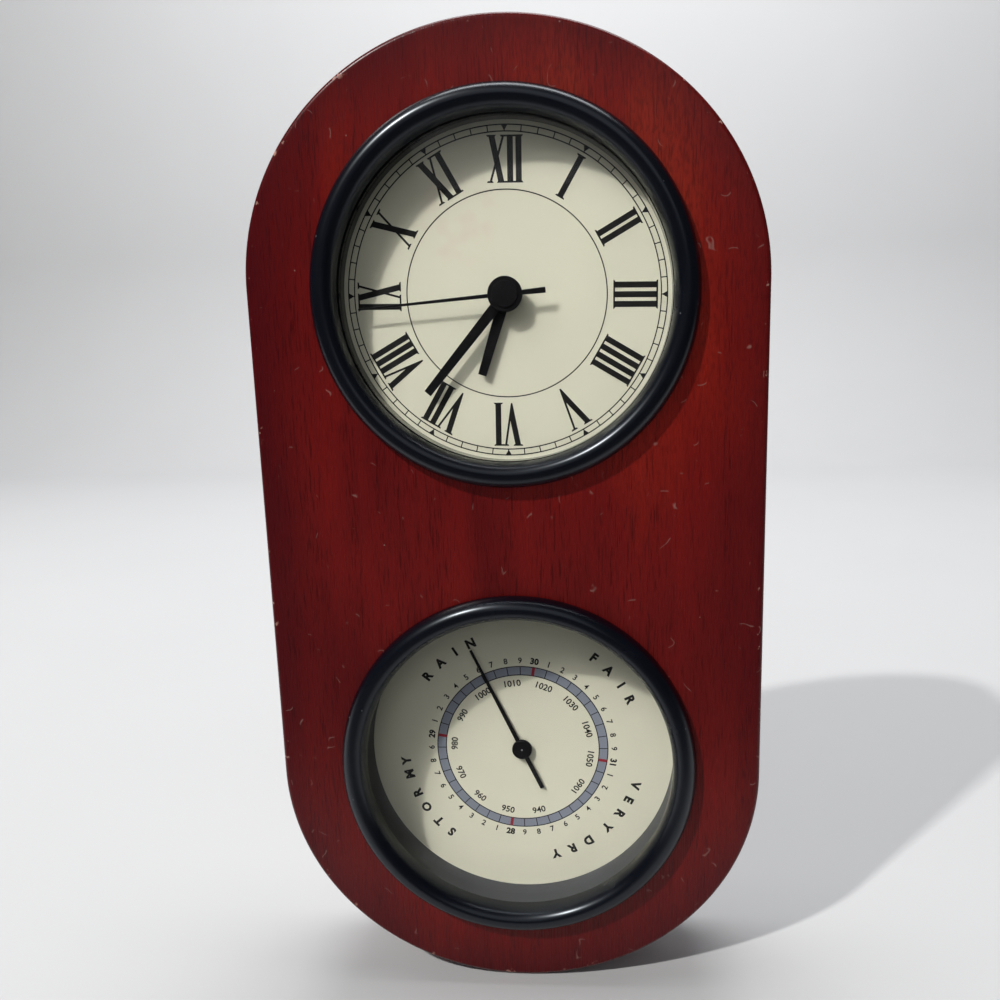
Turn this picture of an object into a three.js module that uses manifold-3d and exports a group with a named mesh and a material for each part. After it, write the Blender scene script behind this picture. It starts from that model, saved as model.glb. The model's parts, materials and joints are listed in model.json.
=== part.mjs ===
// A wall board that carries a quartz clock above an aneroid barometer.
// Millimetres. X is to the right, Z is up and Y runs from the front to the wall, so the fronts face -Y.
// The origin is on the board's back face, at its centre. Each instrument has its own group, whose
// depths are counted from the board's front face and whose X and Z are counted from its own centre.
import * as THREE from "three";
import { mergeVertices } from "three/addons/utils/BufferGeometryUtils.js";
import Module from "manifold-3d";

const wasm = await Module();
wasm.setup();

// Driving dimensions

// Clearances
const FIT = 0.3; // between a fixed piece and the hole it sits in
const RUN = 0.12; // round a turning pivot or tube
const END_PLAY = 0.4; // along a turning piece
const LAYER_GAP = 0.8; // between one wheel and the next in depth
const BARE = 0.1; // between two round pieces pushed on each other

// Board
const BOARD_WIDTH = 152;
const BOARD_HEIGHT = 295;
const BOARD_THICKNESS = 32;
const BOARD_END_RISE = 72; // height of each rounded end, a little flatter than a half circle
const BOARD_EDGE = 1.5; // rounding of the front edge
const DIAL_FROM_END = 74.5; // from each end of the board to the centre of the instrument near it

// Hanger in the back of the board
const HANGER_FROM_TOP = 9.2;
const HANGER_LENGTH = 34;
const HANGER_HEIGHT = 7;
const HANGER_PLATE = 0.8;
const HANGER_SINK = 1.4; // depth of the rebate that the plate lies in
const HANGER_TEETH = 11;
const HANGER_TOOTH = 1;
const HANGER_NAIL_INSET = 2.6;
const POCKET_WIDTH = 16;
const POCKET_DEPTH = 6;
const POCKET_BELOW = 5; // reach of the pocket under the teeth, where the wall's nail comes in
const POCKET_BEHIND = 4; // reach of the pocket behind the plate, where the nail's head ends
const NAIL_RADIUS = 0.7;
const NAIL_LENGTH = 9;
const NAIL_HEAD_RADIUS = 1.8;
const NAIL_HEAD = 0.6;

// Both instruments: glass, bezel, ring, dial, cup and band
const LENS_RADIUS = 52;
const LENS_THICKNESS = 1.5;
const SPIGOT_WALL = 1.2;
const SPIGOT_GRIP = 6; // how far the bezel's sleeve reaches past the dial
const BORE_CLEARANCE = 0.5;
const FLANGE_OVERLAP = 2.3; // how far the bezel's foot laps over the wood
const FLANGE_HEIGHT = 0.9;
const BEAD_INSET = 1.4; // from the edge of the foot to the bead
const BEAD_CREST_INSET = 2.9;
const BEAD_HEIGHT = 5;
const BEAD_FOOT = 1.3;
const DIAL_SHY = 0.2; // how much smaller in radius the dial is than the glass
const DIAL_THICKNESS = 0.6;
const CUP_WALL = 1.6;
const BAND_WIDTH = 5.4;
const BAND_GAP = 0.6;

// Clock insert
const CLOCK_LIP = 3.3; // how far the bezel's lip laps over the glass
const CLOCK_LIP_DEPTH = -0.2;
const CLOCK_DIAL_DEPTH = 6.5;
const CLOCK_RING_WALL = 3.5;
const CLOCK_CUP_DEPTH = 12.4;
const CLOCK_DIAL_HOLE = 4.2;

// Barometer insert
const BARO_LIP = 0.7;
const BARO_LIP_DEPTH = 2.2;
const BARO_DIAL_DEPTH = 13.5;
const BARO_RING_FRONT_WALL = 0.8;
const BARO_RING_BACK_WALL = 1.8;
const BARO_CUP_DEPTH = 16.4;
const BARO_DIAL_HOLE = 1.6;

// Clock hands: how far each tip stays short of the ring, and its angle clockwise from twelve
const HAND_THICKNESS = 0.4;
const HOUR_ANGLE = 198.6;
const MINUTE_ANGLE = 220.6;
const SECOND_ANGLE = 265.4;
const HOUR_TO_RING = 24.1;
const HOUR_WIDTH = [3.5, 2.5];
const MINUTE_TO_RING = 11.3;
const MINUTE_WIDTH = [3.3, 2.4];
const SECOND_TO_RING = 4.9;
const SECOND_WIDTH = [1.2, 0.55];
const SECOND_TAIL = 11.9;
const SECOND_TAIL_WIDTH = 1.7;
const CAP_RADIUS = 5.1;
const CAP_THICKNESS = 0.8;
const CAP_BOSS_RADIUS = 3.8;
const CAP_BOSS = 0.4;
const HAND_BOSS = 1.7; // material round a hand's hole
const CAP_TO_GLASS = 0.5;
const HAND_GAP = 0.5;
const HOUR_OVER_MINUTE = 0.8;

// Quartz movement
const CASE_SIDE = 56;
const CASE_WALL = 1.2;
const CASE_FRONT_WALL = 1.4;
const CASE_FLANGE_GAP = 3.7; // from the corners of the case's flange to the wall of the cup
const CASE_FLANGE_THICKNESS = 1.2;
const CUP_POST = 4;
const COVER_THICKNESS = 1.6;
const PIVOT_DEPTH = 0.8;
const BUSH_WALL = 0.9;
const BUSH_PROUD = 0.8;
const WHEEL_THICKNESS = 0.8;
const ARBOR_RADIUS = 0.5;
const SET_ARBOR_RADIUS = 1;
const STUD_RADIUS = 0.8;
const CANNON_RADIUS = 1.6;
const HOUR_TUBE_WALL = 0.75;
const WASHER_THICKNESS = 0.25;
const WASHER_RADIUS = 3;
const THIRD_DISTANCE = 11;
const THIRD_DIRECTION = 45;
const INTERMEDIATE_DISTANCE = 11;
const INTERMEDIATE_DIRECTION = 135;
const ROTOR_DISTANCE = 7.6;
const ROTOR_DIRECTION = 135;
const MOTION_DISTANCE = 8.4;
const MOTION_DIRECTION = 200;
const SET_DISTANCE = 8.4;
const SET_DIRECTION = 170;
const ROTOR_RADIUS = 2.2;
const ROTOR_THICKNESS = 2;
const ROTOR_AIR = 0.5;
const STATOR_THICKNESS = 1.2;
const STATOR_WIDTH = 37;
const STATOR_CENTRE_X = -1.5;
const STATOR_BOTTOM = 9.8;
const STATOR_WAIST = 18.2;
const STATOR_TOP = 24.9;
const STATOR_POST_RADIUS = 1.2;
const STATOR_POST_INSET = 1.5;
const COIL_Z = 22.4;
const COIL_LENGTH = 22;
const COIL_RADIUS = 2.7;
const COIL_BOBBIN_RADIUS = 1.5;
const COIL_FLANGE = 0.8;
const CORE_HEIGHT = 1.6;
const CORE_THICKNESS = 1.2;
const KNOB_RADIUS = 4.8;
const KNOB_LENGTH = 4;
const KNOB_LOBES = 14;
const KNOB_LOBE = 0.5;
const CIRCUIT = { x: 22.2, z: 7, width: 7.6, height: 30, thickness: 1, front: 16 };
const PCB_POST_RADIUS = 1.2;
const PCB_POST_SPREAD = 22;
const CRYSTAL_RADIUS = 1;
const CRYSTAL_LENGTH = 6;
const BATTERY_RADIUS = 7.1;
const BATTERY_LENGTH = 49.2;
const BATTERY_NUB = 1.2;
const BATTERY_NUB_RADIUS = 2.75;
const CONTACT_THICKNESS = 0.5;
const CONTACT_WIDTH = 10;

// Tooth counts of the movement
const ROTOR_PINION = 6;
const INTERMEDIATE_WHEEL = 36;
const INTERMEDIATE_PINION = 6;
const SECOND_WHEEL = 30;
const SECOND_PINION = 6;
const THIRD_WHEEL = 48;
const THIRD_PINION = 6;
const CENTRE_WHEEL = 45;
const CANNON_PINION = 12;
const MOTION_WHEEL = 36;
const MOTION_PINION = 10;
const HOUR_WHEEL = 40;
const SET_PINION = 12;

// Barometer movement
const PLATE_THICKNESS = 0.8;
const PLATE_WIDTH = 25;
const PLATE_HEIGHT = 22;
const PLATE_CENTRE = { x: 3, z: -3.3 };
const PLATE_CORNER = 2.5;
const PLATE_TO_DIAL = 0.4;
const PILLAR_RADIUS = 1.6;
const PILLAR_STEP = 0.4; // how much a pillar narrows at each plate that it carries
const PILLARS = [
  { x: -7, z: 4.5 },
  { x: 13, z: 4.5 },
];
const SECTOR_DISTANCE = 11;
const SECTOR_DIRECTION = -55;
const SECTOR_TEETH_ROUND = 80; // teeth that the sector's full circle would have
const SECTOR_TEETH = 9;
const SECTOR_HUB_RADIUS = 1.5;
const SECTOR_TAIL = 2.8; // from the sector's axis to the rocker's pin
const SECTOR_TAIL_WIDTH = 1;
const PIN_WAY_RADIUS = 1.7; // hole in the back plate that the rocker's pin moves in
const POINTER_PINION = 8;
const HAIRSPRING_TURNS = 3.25;
const HAIRSPRING_RADIUS = 4.6;
const HAIRSPRING_THICKNESS = 0.25;
const HAIRSPRING_HEIGHT = 0.6;
const HAIRSPRING_STUD_RADIUS = 1;
const ROCKER_RADIUS = 0.7;
const ROCKER_LENGTH = 30;
const ROCKER_BEHIND_PLATE = 1.6;
const ROCKER_ARM = 6;
const ROCKER_ARM_WIDTH = 2.4;
const ROCKER_ARM_THICKNESS = 0.8;
const BRACKET_THICKNESS = 1.2;
const BRACKET_WIDTH = 5;
const CAPSULE_RADIUS = 13;
const CAPSULE_THICKNESS = 4.4;
const CAPSULE_RIM = 1; // soldered edge that stands out round the waist
const CAPSULE_RIM_THICKNESS = 0.8;
const CAPSULE_WAVES = 2;
const CAPSULE_WAVE = 0.5;
const CAPSULE_WELL_RADIUS = 2.2;
const CAPSULE_WELL = 2.4;
const CAPSULE_STUD_RADIUS = 1.2;
const CAPSULE_TRAVEL = 1.1;
const CARRIER_THICKNESS = 0.8;
const CARRIER_WIDTH = 10;
const CARRIER_LENGTH = 33;
const CARRIER_FOOT = 4;
const CARRIER_RISE = 0.5;
const BASE_RADIUS = 28;
const BASE_THICKNESS = 1.2;
const BASE_CENTRE_Z = -4;
const SCREW_RADIUS = 1.2;
const SCREW_HEAD_RADIUS = 2.5;
const SCREW_HEAD = 1;
const SCREW_SPREAD = 21;
const ADJUSTER_RADIUS = 1.5;
const ADJUSTER_HEAD_RADIUS = 3;
const ADJUSTER_Z = -27.5;
const SLOT_WIDTH = 0.8;
const SLOT_DEPTH = 0.5;
const POINTER_ANGLE = 334.9;
const POINTER_TO_RING = 12.3;
const POINTER_WIDTH = [1.3, 0.6];
const POINTER_TAIL = 15.3;
const POINTER_TAIL_WIDTH = 1.6;
const POINTER_HUB_RADIUS = 3.3;
const POINTER_HUB = 1;
const POINTER_OVER_DIAL = 0.7;

// Facets round a circle
const ROUND = 36;
const HIDDEN_ROUND = 28;
const MEDIUM_ROUND = 20;
const SMALL_ROUND = 12;
const TINY_ROUND = 8;
const BOARD_END_FACETS = 20;
const BEAD_STEPS = 4;
const WELD = 1e-4;

// Radii and depths that follow from the driving dimensions
const spigotInner = LENS_RADIUS + FIT;
const spigotOuter = spigotInner + SPIGOT_WALL;
const boreRadius = spigotOuter + BORE_CLEARANCE;
const flangeRadius = boreRadius + FLANGE_OVERLAP;
const beadRadius = flangeRadius - BEAD_INSET;
const crestRadius = flangeRadius - BEAD_CREST_INSET;
const bandOuter = boreRadius - FIT;
const dialRadius = LENS_RADIUS - DIAL_SHY;
const cupInner = LENS_RADIUS - CUP_WALL;
const clockRingInner = LENS_RADIUS - CLOCK_RING_WALL;
const baroRingFront = LENS_RADIUS - BARO_RING_FRONT_WALL;
const baroRingBack = LENS_RADIUS - BARO_RING_BACK_WALL;
const caseFlange = (cupInner - CASE_FLANGE_GAP) * Math.SQRT2;
const dialZ = BOARD_HEIGHT / 2 - DIAL_FROM_END;
const hangerZ = BOARD_HEIGHT / 2 - HANGER_FROM_TOP;

const materials = {
  wood: finish("#5f1a16", 0.4, 0),
  bezel: finish("#15181f", 0.35, 0),
  glass: finish("#ffffff", 0.03, 0, 0.2),
  dial: finish("#dbd8c3", 0.8, 0),
  ring: finish("#17181b", 0.2, 0),
  hand: finish("#17121a", 0.45, 0),
  plastic: finish("#26272a", 0.55, 0),
  rubber: finish("#1c1c1c", 0.9, 0),
  nylon: finish("#e6e4da", 0.5, 0),
  brass: finish("#b08d45", 0.3, 1),
  steel: finish("#a5a7aa", 0.3, 1),
  copper: finish("#9c5428", 0.4, 1),
  circuit: finish("#1f5d33", 0.5, 0),
  battery: finish("#3b3d42", 0.35, 0.6),
  capsule: finish("#b9a778", 0.3, 1),
};

function finish(color, roughness, metalness, opacity = 1) {
  return new THREE.MeshStandardMaterial({ color, roughness, metalness, opacity, transparent: opacity < 1 });
}

// Tools for forms

/** A closed geometry as a solid, with its shared vertices merged. */
function solid(geometry) {
  const bare = geometry.clone();
  bare.deleteAttribute("normal");
  bare.deleteAttribute("uv");
  const merged = mergeVertices(bare, WELD);
  const corners = merged.index.array;
  const kept = [];
  for (let i = 0; i < corners.length; i += 3) {
    const [a, b, c] = corners.slice(i, i + 3);
    if (a !== b && b !== c && c !== a) kept.push(a, b, c);
  }
  return new wasm.Manifold(
    new wasm.Mesh({
      numProp: 3,
      vertProperties: merged.attributes.position.array,
      triVerts: new Uint32Array(kept),
    }),
  );
}

/** All the given solids as one. */
function join(...solids) {
  return solids.reduce((whole, next) => whole.add(next));
}

/** The first solid less all the others. */
function cut(body, ...tools) {
  return tools.reduce((whole, tool) => whole.subtract(tool), body);
}

/** A named mesh of a solid, in its group at the place given. */
function piece(group, name, material, form, { x = 0, y = 0, z = 0, turn = 0 } = {}) {
  const mesh = form.getMesh();
  const geometry = new THREE.BufferGeometry();
  geometry.setAttribute("position", new THREE.BufferAttribute(mesh.vertProperties, 3));
  geometry.setIndex(new THREE.BufferAttribute(mesh.triVerts, 1));
  geometry.computeVertexNormals();
  const made = new THREE.Mesh(geometry, material);
  made.name = name;
  made.position.set(x, y, z);
  made.rotation.y = THREE.MathUtils.degToRad(turn);
  group.add(made);
}

/** A body of revolution about the depth axis, from a closed outline of [radius, depth] points. */
function revolve(outline, { x = 0, z = 0, facets = ROUND } = {}) {
  const points = outline.map(([r, y]) => new THREE.Vector2(r, y));
  if (THREE.ShapeUtils.area(points) < 0) points.reverse();
  const onAxis = points.filter((p) => p.x === 0).length;
  while (onAxis && !(points[0].x === 0 && points.at(-1).x === 0)) points.push(points.shift());
  if (!onAxis) points.push(points[0]);
  return solid(new THREE.LatheGeometry(points, facets).translate(x, 0, z));
}

/** A round bar along the depth axis. */
function bar(radius, front, back, { x = 0, z = 0, facets = SMALL_ROUND } = {}) {
  const middle = (front + back) / 2;
  return solid(new THREE.CylinderGeometry(radius, radius, back - front, facets).translate(x, middle, z));
}

/** A round bar along X. */
function crossBar(radius, left, right, { y, z, facets = SMALL_ROUND }) {
  const geometry = new THREE.CylinderGeometry(radius, radius, right - left, facets).rotateZ(Math.PI / 2);
  return solid(geometry.translate((left + right) / 2, y, z));
}

/** A flat piece whose outline lies in X and Z. */
function plate(shape, front, thickness, facets = SMALL_ROUND) {
  const geometry = new THREE.ExtrudeGeometry(shape, {
    depth: thickness,
    bevelEnabled: false,
    curveSegments: facets,
  });
  return solid(geometry.rotateX(Math.PI / 2).translate(0, front + thickness, 0));
}

/** A block between two corners. */
function block([x0, y0, z0], [x1, y1, z1]) {
  const geometry = new THREE.BoxGeometry(x1 - x0, y1 - y0, z1 - z0);
  return solid(geometry.translate((x0 + x1) / 2, (y0 + y1) / 2, (z0 + z1) / 2));
}

/** A flat rectangle with rounded corners, centred on a point. */
function roundedRectangle(width, height, corner, { x = 0, z = 0 } = {}) {
  const shape = new THREE.Shape();
  const [w, h] = [width / 2, height / 2];
  shape.absarc(x + w - corner, z + h - corner, corner, 0, Math.PI / 2);
  shape.absarc(x - w + corner, z + h - corner, corner, Math.PI / 2, Math.PI);
  shape.absarc(x - w + corner, z - h + corner, corner, Math.PI, Math.PI * 1.5);
  shape.absarc(x + w - corner, z - h + corner, corner, Math.PI * 1.5, Math.PI * 2);
  return shape;
}

/** The point at a distance and direction, in degrees from +X towards +Z. */
function polar(distance, direction, from = { x: 0, z: 0 }) {
  const angle = THREE.MathUtils.degToRad(direction);
  return { x: from.x + distance * Math.cos(angle), z: from.z + distance * Math.sin(angle) };
}

// Teeth

const TOOTH_ABOVE = 0.75; // height over the pitch circle, in modules
const TOOTH_BELOW = 1.4; // depth of the gap under the pitch circle, in modules
const TOOTH_TIP = 0.1; // width of the tip, in tooth pitches

/** The module of two wheels that mesh at a distance. */
function moduleFor(distance, teeth, otherTeeth) {
  return (2 * distance) / (teeth + otherTeeth);
}

/** A toothed outline, whose first tooth lies in the direction given in degrees. */
function toothedShape(teeth, module, first, count = teeth) {
  const pitch = 360 / teeth;
  const foot = (teeth / 2 - TOOTH_BELOW) * module;
  const tip = (teeth / 2 + TOOTH_ABOVE) * module;
  const corners = [];
  for (let i = 0; i < count; i++) {
    const middle = first + i * pitch;
    corners.push(polar(foot, middle - pitch / 2));
    corners.push(polar(tip, middle - (TOOTH_TIP * pitch) / 2));
    corners.push(polar(tip, middle + (TOOTH_TIP * pitch) / 2));
  }
  if (count < teeth) corners.push(polar(foot, first + (count - 0.5) * pitch), { x: 0, z: 0 });
  return new THREE.Shape(corners.map(({ x, z }) => new THREE.Vector2(x, z)));
}

/** The phase that puts a wheel in mesh with another that lies in a direction from it. */
function meshPhase(teeth, phase, direction, otherTeeth) {
  const along = ((phase - direction) * teeth) / 360;
  return direction + 180 + (360 / otherTeeth) * (0.5 - along);
}

/** A toothed disc about its own axis. */
function gear(teeth, module, phase, front, thickness, bore = 0) {
  const shape = toothedShape(teeth, module, phase);
  if (bore) {
    const hole = new THREE.Path();
    hole.absarc(0, 0, bore, 0, Math.PI * 2);
    shape.holes.push(hole);
  }
  return plate(shape, front, thickness, TINY_ROUND);
}

// Board and hanger

function boardShape() {
  const shape = new THREE.Shape();
  const half = BOARD_WIDTH / 2;
  const straight = BOARD_HEIGHT / 2 - BOARD_END_RISE;
  shape.moveTo(half, -straight);
  shape.lineTo(half, straight);
  shape.absellipse(0, straight, half, BOARD_END_RISE, 0, Math.PI);
  shape.lineTo(-half, -straight);
  shape.absellipse(0, -straight, half, BOARD_END_RISE, Math.PI, Math.PI * 2);
  return shape;
}

function buildBoard(root) {
  const blank = new THREE.ExtrudeGeometry(boardShape(), {
    depth: BOARD_THICKNESS,
    curveSegments: BOARD_END_FACETS,
    bevelThickness: BOARD_EDGE,
    bevelSize: BOARD_EDGE,
    bevelOffset: -BOARD_EDGE,
    bevelSegments: 2,
  });
  // The rounding runs round both faces, so the back one is sawn off square.
  const behind = 2 * BOARD_EDGE;
  const sawn = cut(
    solid(blank.rotateX(Math.PI / 2).translate(0, BOARD_EDGE, 0)),
    block([-BOARD_WIDTH, 0, -BOARD_HEIGHT], [BOARD_WIDTH, behind, BOARD_HEIGHT]),
  );
  const bores = [dialZ, -dialZ].map((z) =>
    bar(boreRadius, -BOARD_THICKNESS - 1, 1, { z, facets: ROUND }),
  );
  const rebate = roundedRectangle(HANGER_LENGTH + 2 * FIT, HANGER_HEIGHT + 2 * FIT, 1, { z: hangerZ });
  const teethZ = hangerZ - HANGER_HEIGHT / 2;
  const pocket = block(
    [-POCKET_WIDTH / 2, -POCKET_DEPTH, teethZ - POCKET_BELOW],
    [POCKET_WIDTH / 2, 1, teethZ + POCKET_BEHIND],
  );
  const nailHoles = hangerNailPlaces().map((place) =>
    bar(NAIL_RADIUS + BARE, -HANGER_SINK - NAIL_LENGTH - FIT, 1, { ...place, facets: TINY_ROUND }),
  );
  const body = cut(sawn, ...bores, plate(rebate, -HANGER_SINK, HANGER_SINK + 1), pocket, ...nailHoles);
  piece(root, "wood_board", materials.wood, body);
}

function hangerNailPlaces() {
  const reach = HANGER_LENGTH / 2 - HANGER_NAIL_INSET;
  return [-reach, reach].map((x) => ({ x, z: hangerZ }));
}

function hangerPlate() {
  const [w, h] = [HANGER_LENGTH / 2, HANGER_HEIGHT / 2];
  const pitch = (POCKET_WIDTH - 2 * FIT) / HANGER_TEETH;
  const firstTooth = (-HANGER_TEETH * pitch) / 2;
  const shape = new THREE.Shape();
  shape.moveTo(w, hangerZ + h);
  shape.lineTo(-w, hangerZ + h);
  shape.lineTo(-w, hangerZ - h);
  for (let i = 0; i < HANGER_TEETH; i++) {
    shape.lineTo(firstTooth + i * pitch, hangerZ - h);
    shape.lineTo(firstTooth + (i + 0.5) * pitch, hangerZ - h + HANGER_TOOTH);
  }
  shape.lineTo(-firstTooth, hangerZ - h);
  shape.lineTo(w, hangerZ - h);
  return plate(shape, -HANGER_SINK, HANGER_PLATE);
}

function buildHanger(root) {
  const holes = hangerNailPlaces().map((place) =>
    bar(NAIL_RADIUS + BARE, -HANGER_SINK - 1, 0, { ...place, facets: TINY_ROUND }),
  );
  piece(root, "sawtooth_hanger", materials.steel, cut(hangerPlate(), ...holes));
  const headFront = -HANGER_SINK + HANGER_PLATE;
  const nail = revolve(
    [
      [0, headFront - NAIL_LENGTH],
      [NAIL_RADIUS, headFront - NAIL_LENGTH + 2 * NAIL_RADIUS],
      [NAIL_RADIUS, headFront],
      [NAIL_HEAD_RADIUS, headFront],
      [NAIL_HEAD_RADIUS, headFront + NAIL_HEAD],
      [0, headFront + NAIL_HEAD],
    ],
    { facets: TINY_ROUND },
  );
  const [left, right] = hangerNailPlaces();
  piece(root, "hanger_nail_left", materials.steel, nail, left);
  piece(root, "hanger_nail_right", materials.steel, nail, right);
}

// Shell of an instrument: bezel, glass, ring, dial, cup and band

/** The quarter ellipses of the bezel's bead, from its foot over the crest to the lip. */
function beadOutline(lipRadius, lipDepth) {
  const outline = [];
  for (let i = 0; i <= BEAD_STEPS; i++) {
    const angle = (Math.PI / 2) * (i / BEAD_STEPS);
    outline.push([
      crestRadius + (beadRadius - crestRadius) * Math.cos(angle),
      -BEAD_FOOT - (BEAD_HEIGHT - BEAD_FOOT) * Math.sin(angle),
    ]);
  }
  for (let i = 1; i <= BEAD_STEPS; i++) {
    const angle = (Math.PI / 2) * (i / BEAD_STEPS);
    outline.push([
      crestRadius - (crestRadius - lipRadius) * Math.sin(angle),
      lipDepth - (BEAD_HEIGHT + lipDepth) * Math.cos(angle),
    ]);
  }
  return outline;
}

function bezel(lipRadius, lipDepth, sleeveDepth) {
  return revolve([
    [flangeRadius, 0],
    [flangeRadius, -FLANGE_HEIGHT],
    ...beadOutline(lipRadius, lipDepth),
    [spigotInner, lipDepth],
    [spigotInner, sleeveDepth],
    [spigotOuter, sleeveDepth],
    [spigotOuter, 0],
  ]);
}

function ring(outer, inner, front, back, { innerBack = inner, facets = HIDDEN_ROUND } = {}) {
  const outline = [
    [inner, front],
    [outer, front],
    [outer, back],
    [innerBack, back],
  ];
  return revolve(outline, { facets });
}

function buildShell(group, prefix, size) {
  const lensBack = size.lipDepth + LENS_THICKNESS;
  const dialBack = size.dialDepth + DIAL_THICKNESS;
  const sleeveDepth = dialBack + SPIGOT_GRIP;
  const bandFront = sleeveDepth + BAND_GAP;
  piece(group, prefix + "_bezel", materials.bezel, bezel(size.lipRadius, size.lipDepth, sleeveDepth));
  const glass = bar(LENS_RADIUS, size.lipDepth, lensBack, { facets: ROUND });
  piece(group, prefix + "_lens", materials.glass, glass);
  const spacer = ring(LENS_RADIUS, size.ringFrontRadius, lensBack, size.dialDepth, {
    innerBack: size.ringBackRadius,
  });
  piece(group, prefix + "_spacer_ring", materials.ring, spacer);
  piece(group, prefix + "_dial", materials.dial, ring(dialRadius, size.dialHole, size.dialDepth, dialBack));
  const band = ring(bandOuter, LENS_RADIUS + BARE, bandFront, bandFront + BAND_WIDTH);
  piece(group, prefix + "_grip_band", materials.rubber, band);
}

/** A cup open to the front, as deep as given, whose rim bears on the back of the dial. */
function cup(front, depth) {
  const outline = [
    [LENS_RADIUS, front],
    [LENS_RADIUS, front + depth],
    [0, front + depth],
    [0, front + depth - CUP_WALL],
    [cupInner, front + depth - CUP_WALL],
    [cupInner, front],
  ];
  return revolve(outline, { facets: HIDDEN_ROUND });
}

// Depths of the clock, from its glass to its knob

const clockLensBack = CLOCK_LIP_DEPTH + LENS_THICKNESS;
const capFront = clockLensBack + CAP_TO_GLASS;
const capDisc = capFront + CAP_BOSS;
const capBack = capDisc + CAP_THICKNESS;
const minuteFront = capBack + HAND_GAP;
const hourFront = minuteFront + HAND_THICKNESS + HOUR_OVER_MINUTE;
const caseFront = CLOCK_DIAL_DEPTH + DIAL_THICKNESS;
const caseInner = caseFront + CASE_FRONT_WALL;
const hourWheelFront = caseInner + END_PLAY;
const layer = WHEEL_THICKNESS + LAYER_GAP;
const motionWheelFront = hourWheelFront + layer;
const centreWheelFront = motionWheelFront + layer;
const thirdWheelFront = centreWheelFront + layer;
const secondWheelFront = thirdWheelFront + layer;
const intermediateFront = secondWheelFront + layer;
const magnetFront = intermediateFront + layer;
const statorFront = magnetFront + (ROTOR_THICKNESS - STATOR_THICKNESS) / 2;
const statorLeft = STATOR_CENTRE_X - STATOR_WIDTH / 2;
const statorRight = STATOR_CENTRE_X + STATOR_WIDTH / 2;
const coreFront = statorFront - CORE_THICKNESS;
const coverFront = magnetFront + ROTOR_THICKNESS + LAYER_GAP;
const coverBack = coverFront + COVER_THICKNESS;
const hourTubeInner = CANNON_RADIUS + RUN;
const hourTubeOuter = hourTubeInner + HOUR_TUBE_WALL;
const bushInner = hourTubeOuter + RUN;
const bushOuter = bushInner + BUSH_WALL;
const pivotHole = ARBOR_RADIUS + RUN;
const batteryZ = -CASE_SIDE / 2 + CASE_WALL + FIT + BATTERY_RADIUS;
const dividerTop = batteryZ + BATTERY_RADIUS + FIT + CASE_WALL;
const caseHalf = CASE_SIDE / 2;
const caseHollow = caseHalf - CASE_WALL;

// Arbors of the movement
const centreAxis = { x: 0, z: 0 };
const thirdAxis = polar(THIRD_DISTANCE, THIRD_DIRECTION);
const intermediateAxis = polar(INTERMEDIATE_DISTANCE, INTERMEDIATE_DIRECTION);
const rotorAxis = polar(ROTOR_DISTANCE, ROTOR_DIRECTION, intermediateAxis);
const motionAxis = polar(MOTION_DISTANCE, MOTION_DIRECTION);
const setAxis = polar(SET_DISTANCE, SET_DIRECTION, motionAxis);

/** An arbor between the two walls of the case, with its pivots in them. */
function arbor(front = caseInner) {
  const pivotEnd = coverFront + PIVOT_DEPTH - FIT;
  return bar(ARBOR_RADIUS, front - PIVOT_DEPTH + FIT, pivotEnd, { facets: TINY_ROUND });
}

/** The pinion in front of a wheel, which reaches over the layer that it drives. */
function pinion(teeth, module, phase, wheelFront) {
  return gear(teeth, module, phase, wheelFront - layer - RUN, layer + RUN);
}

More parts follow.
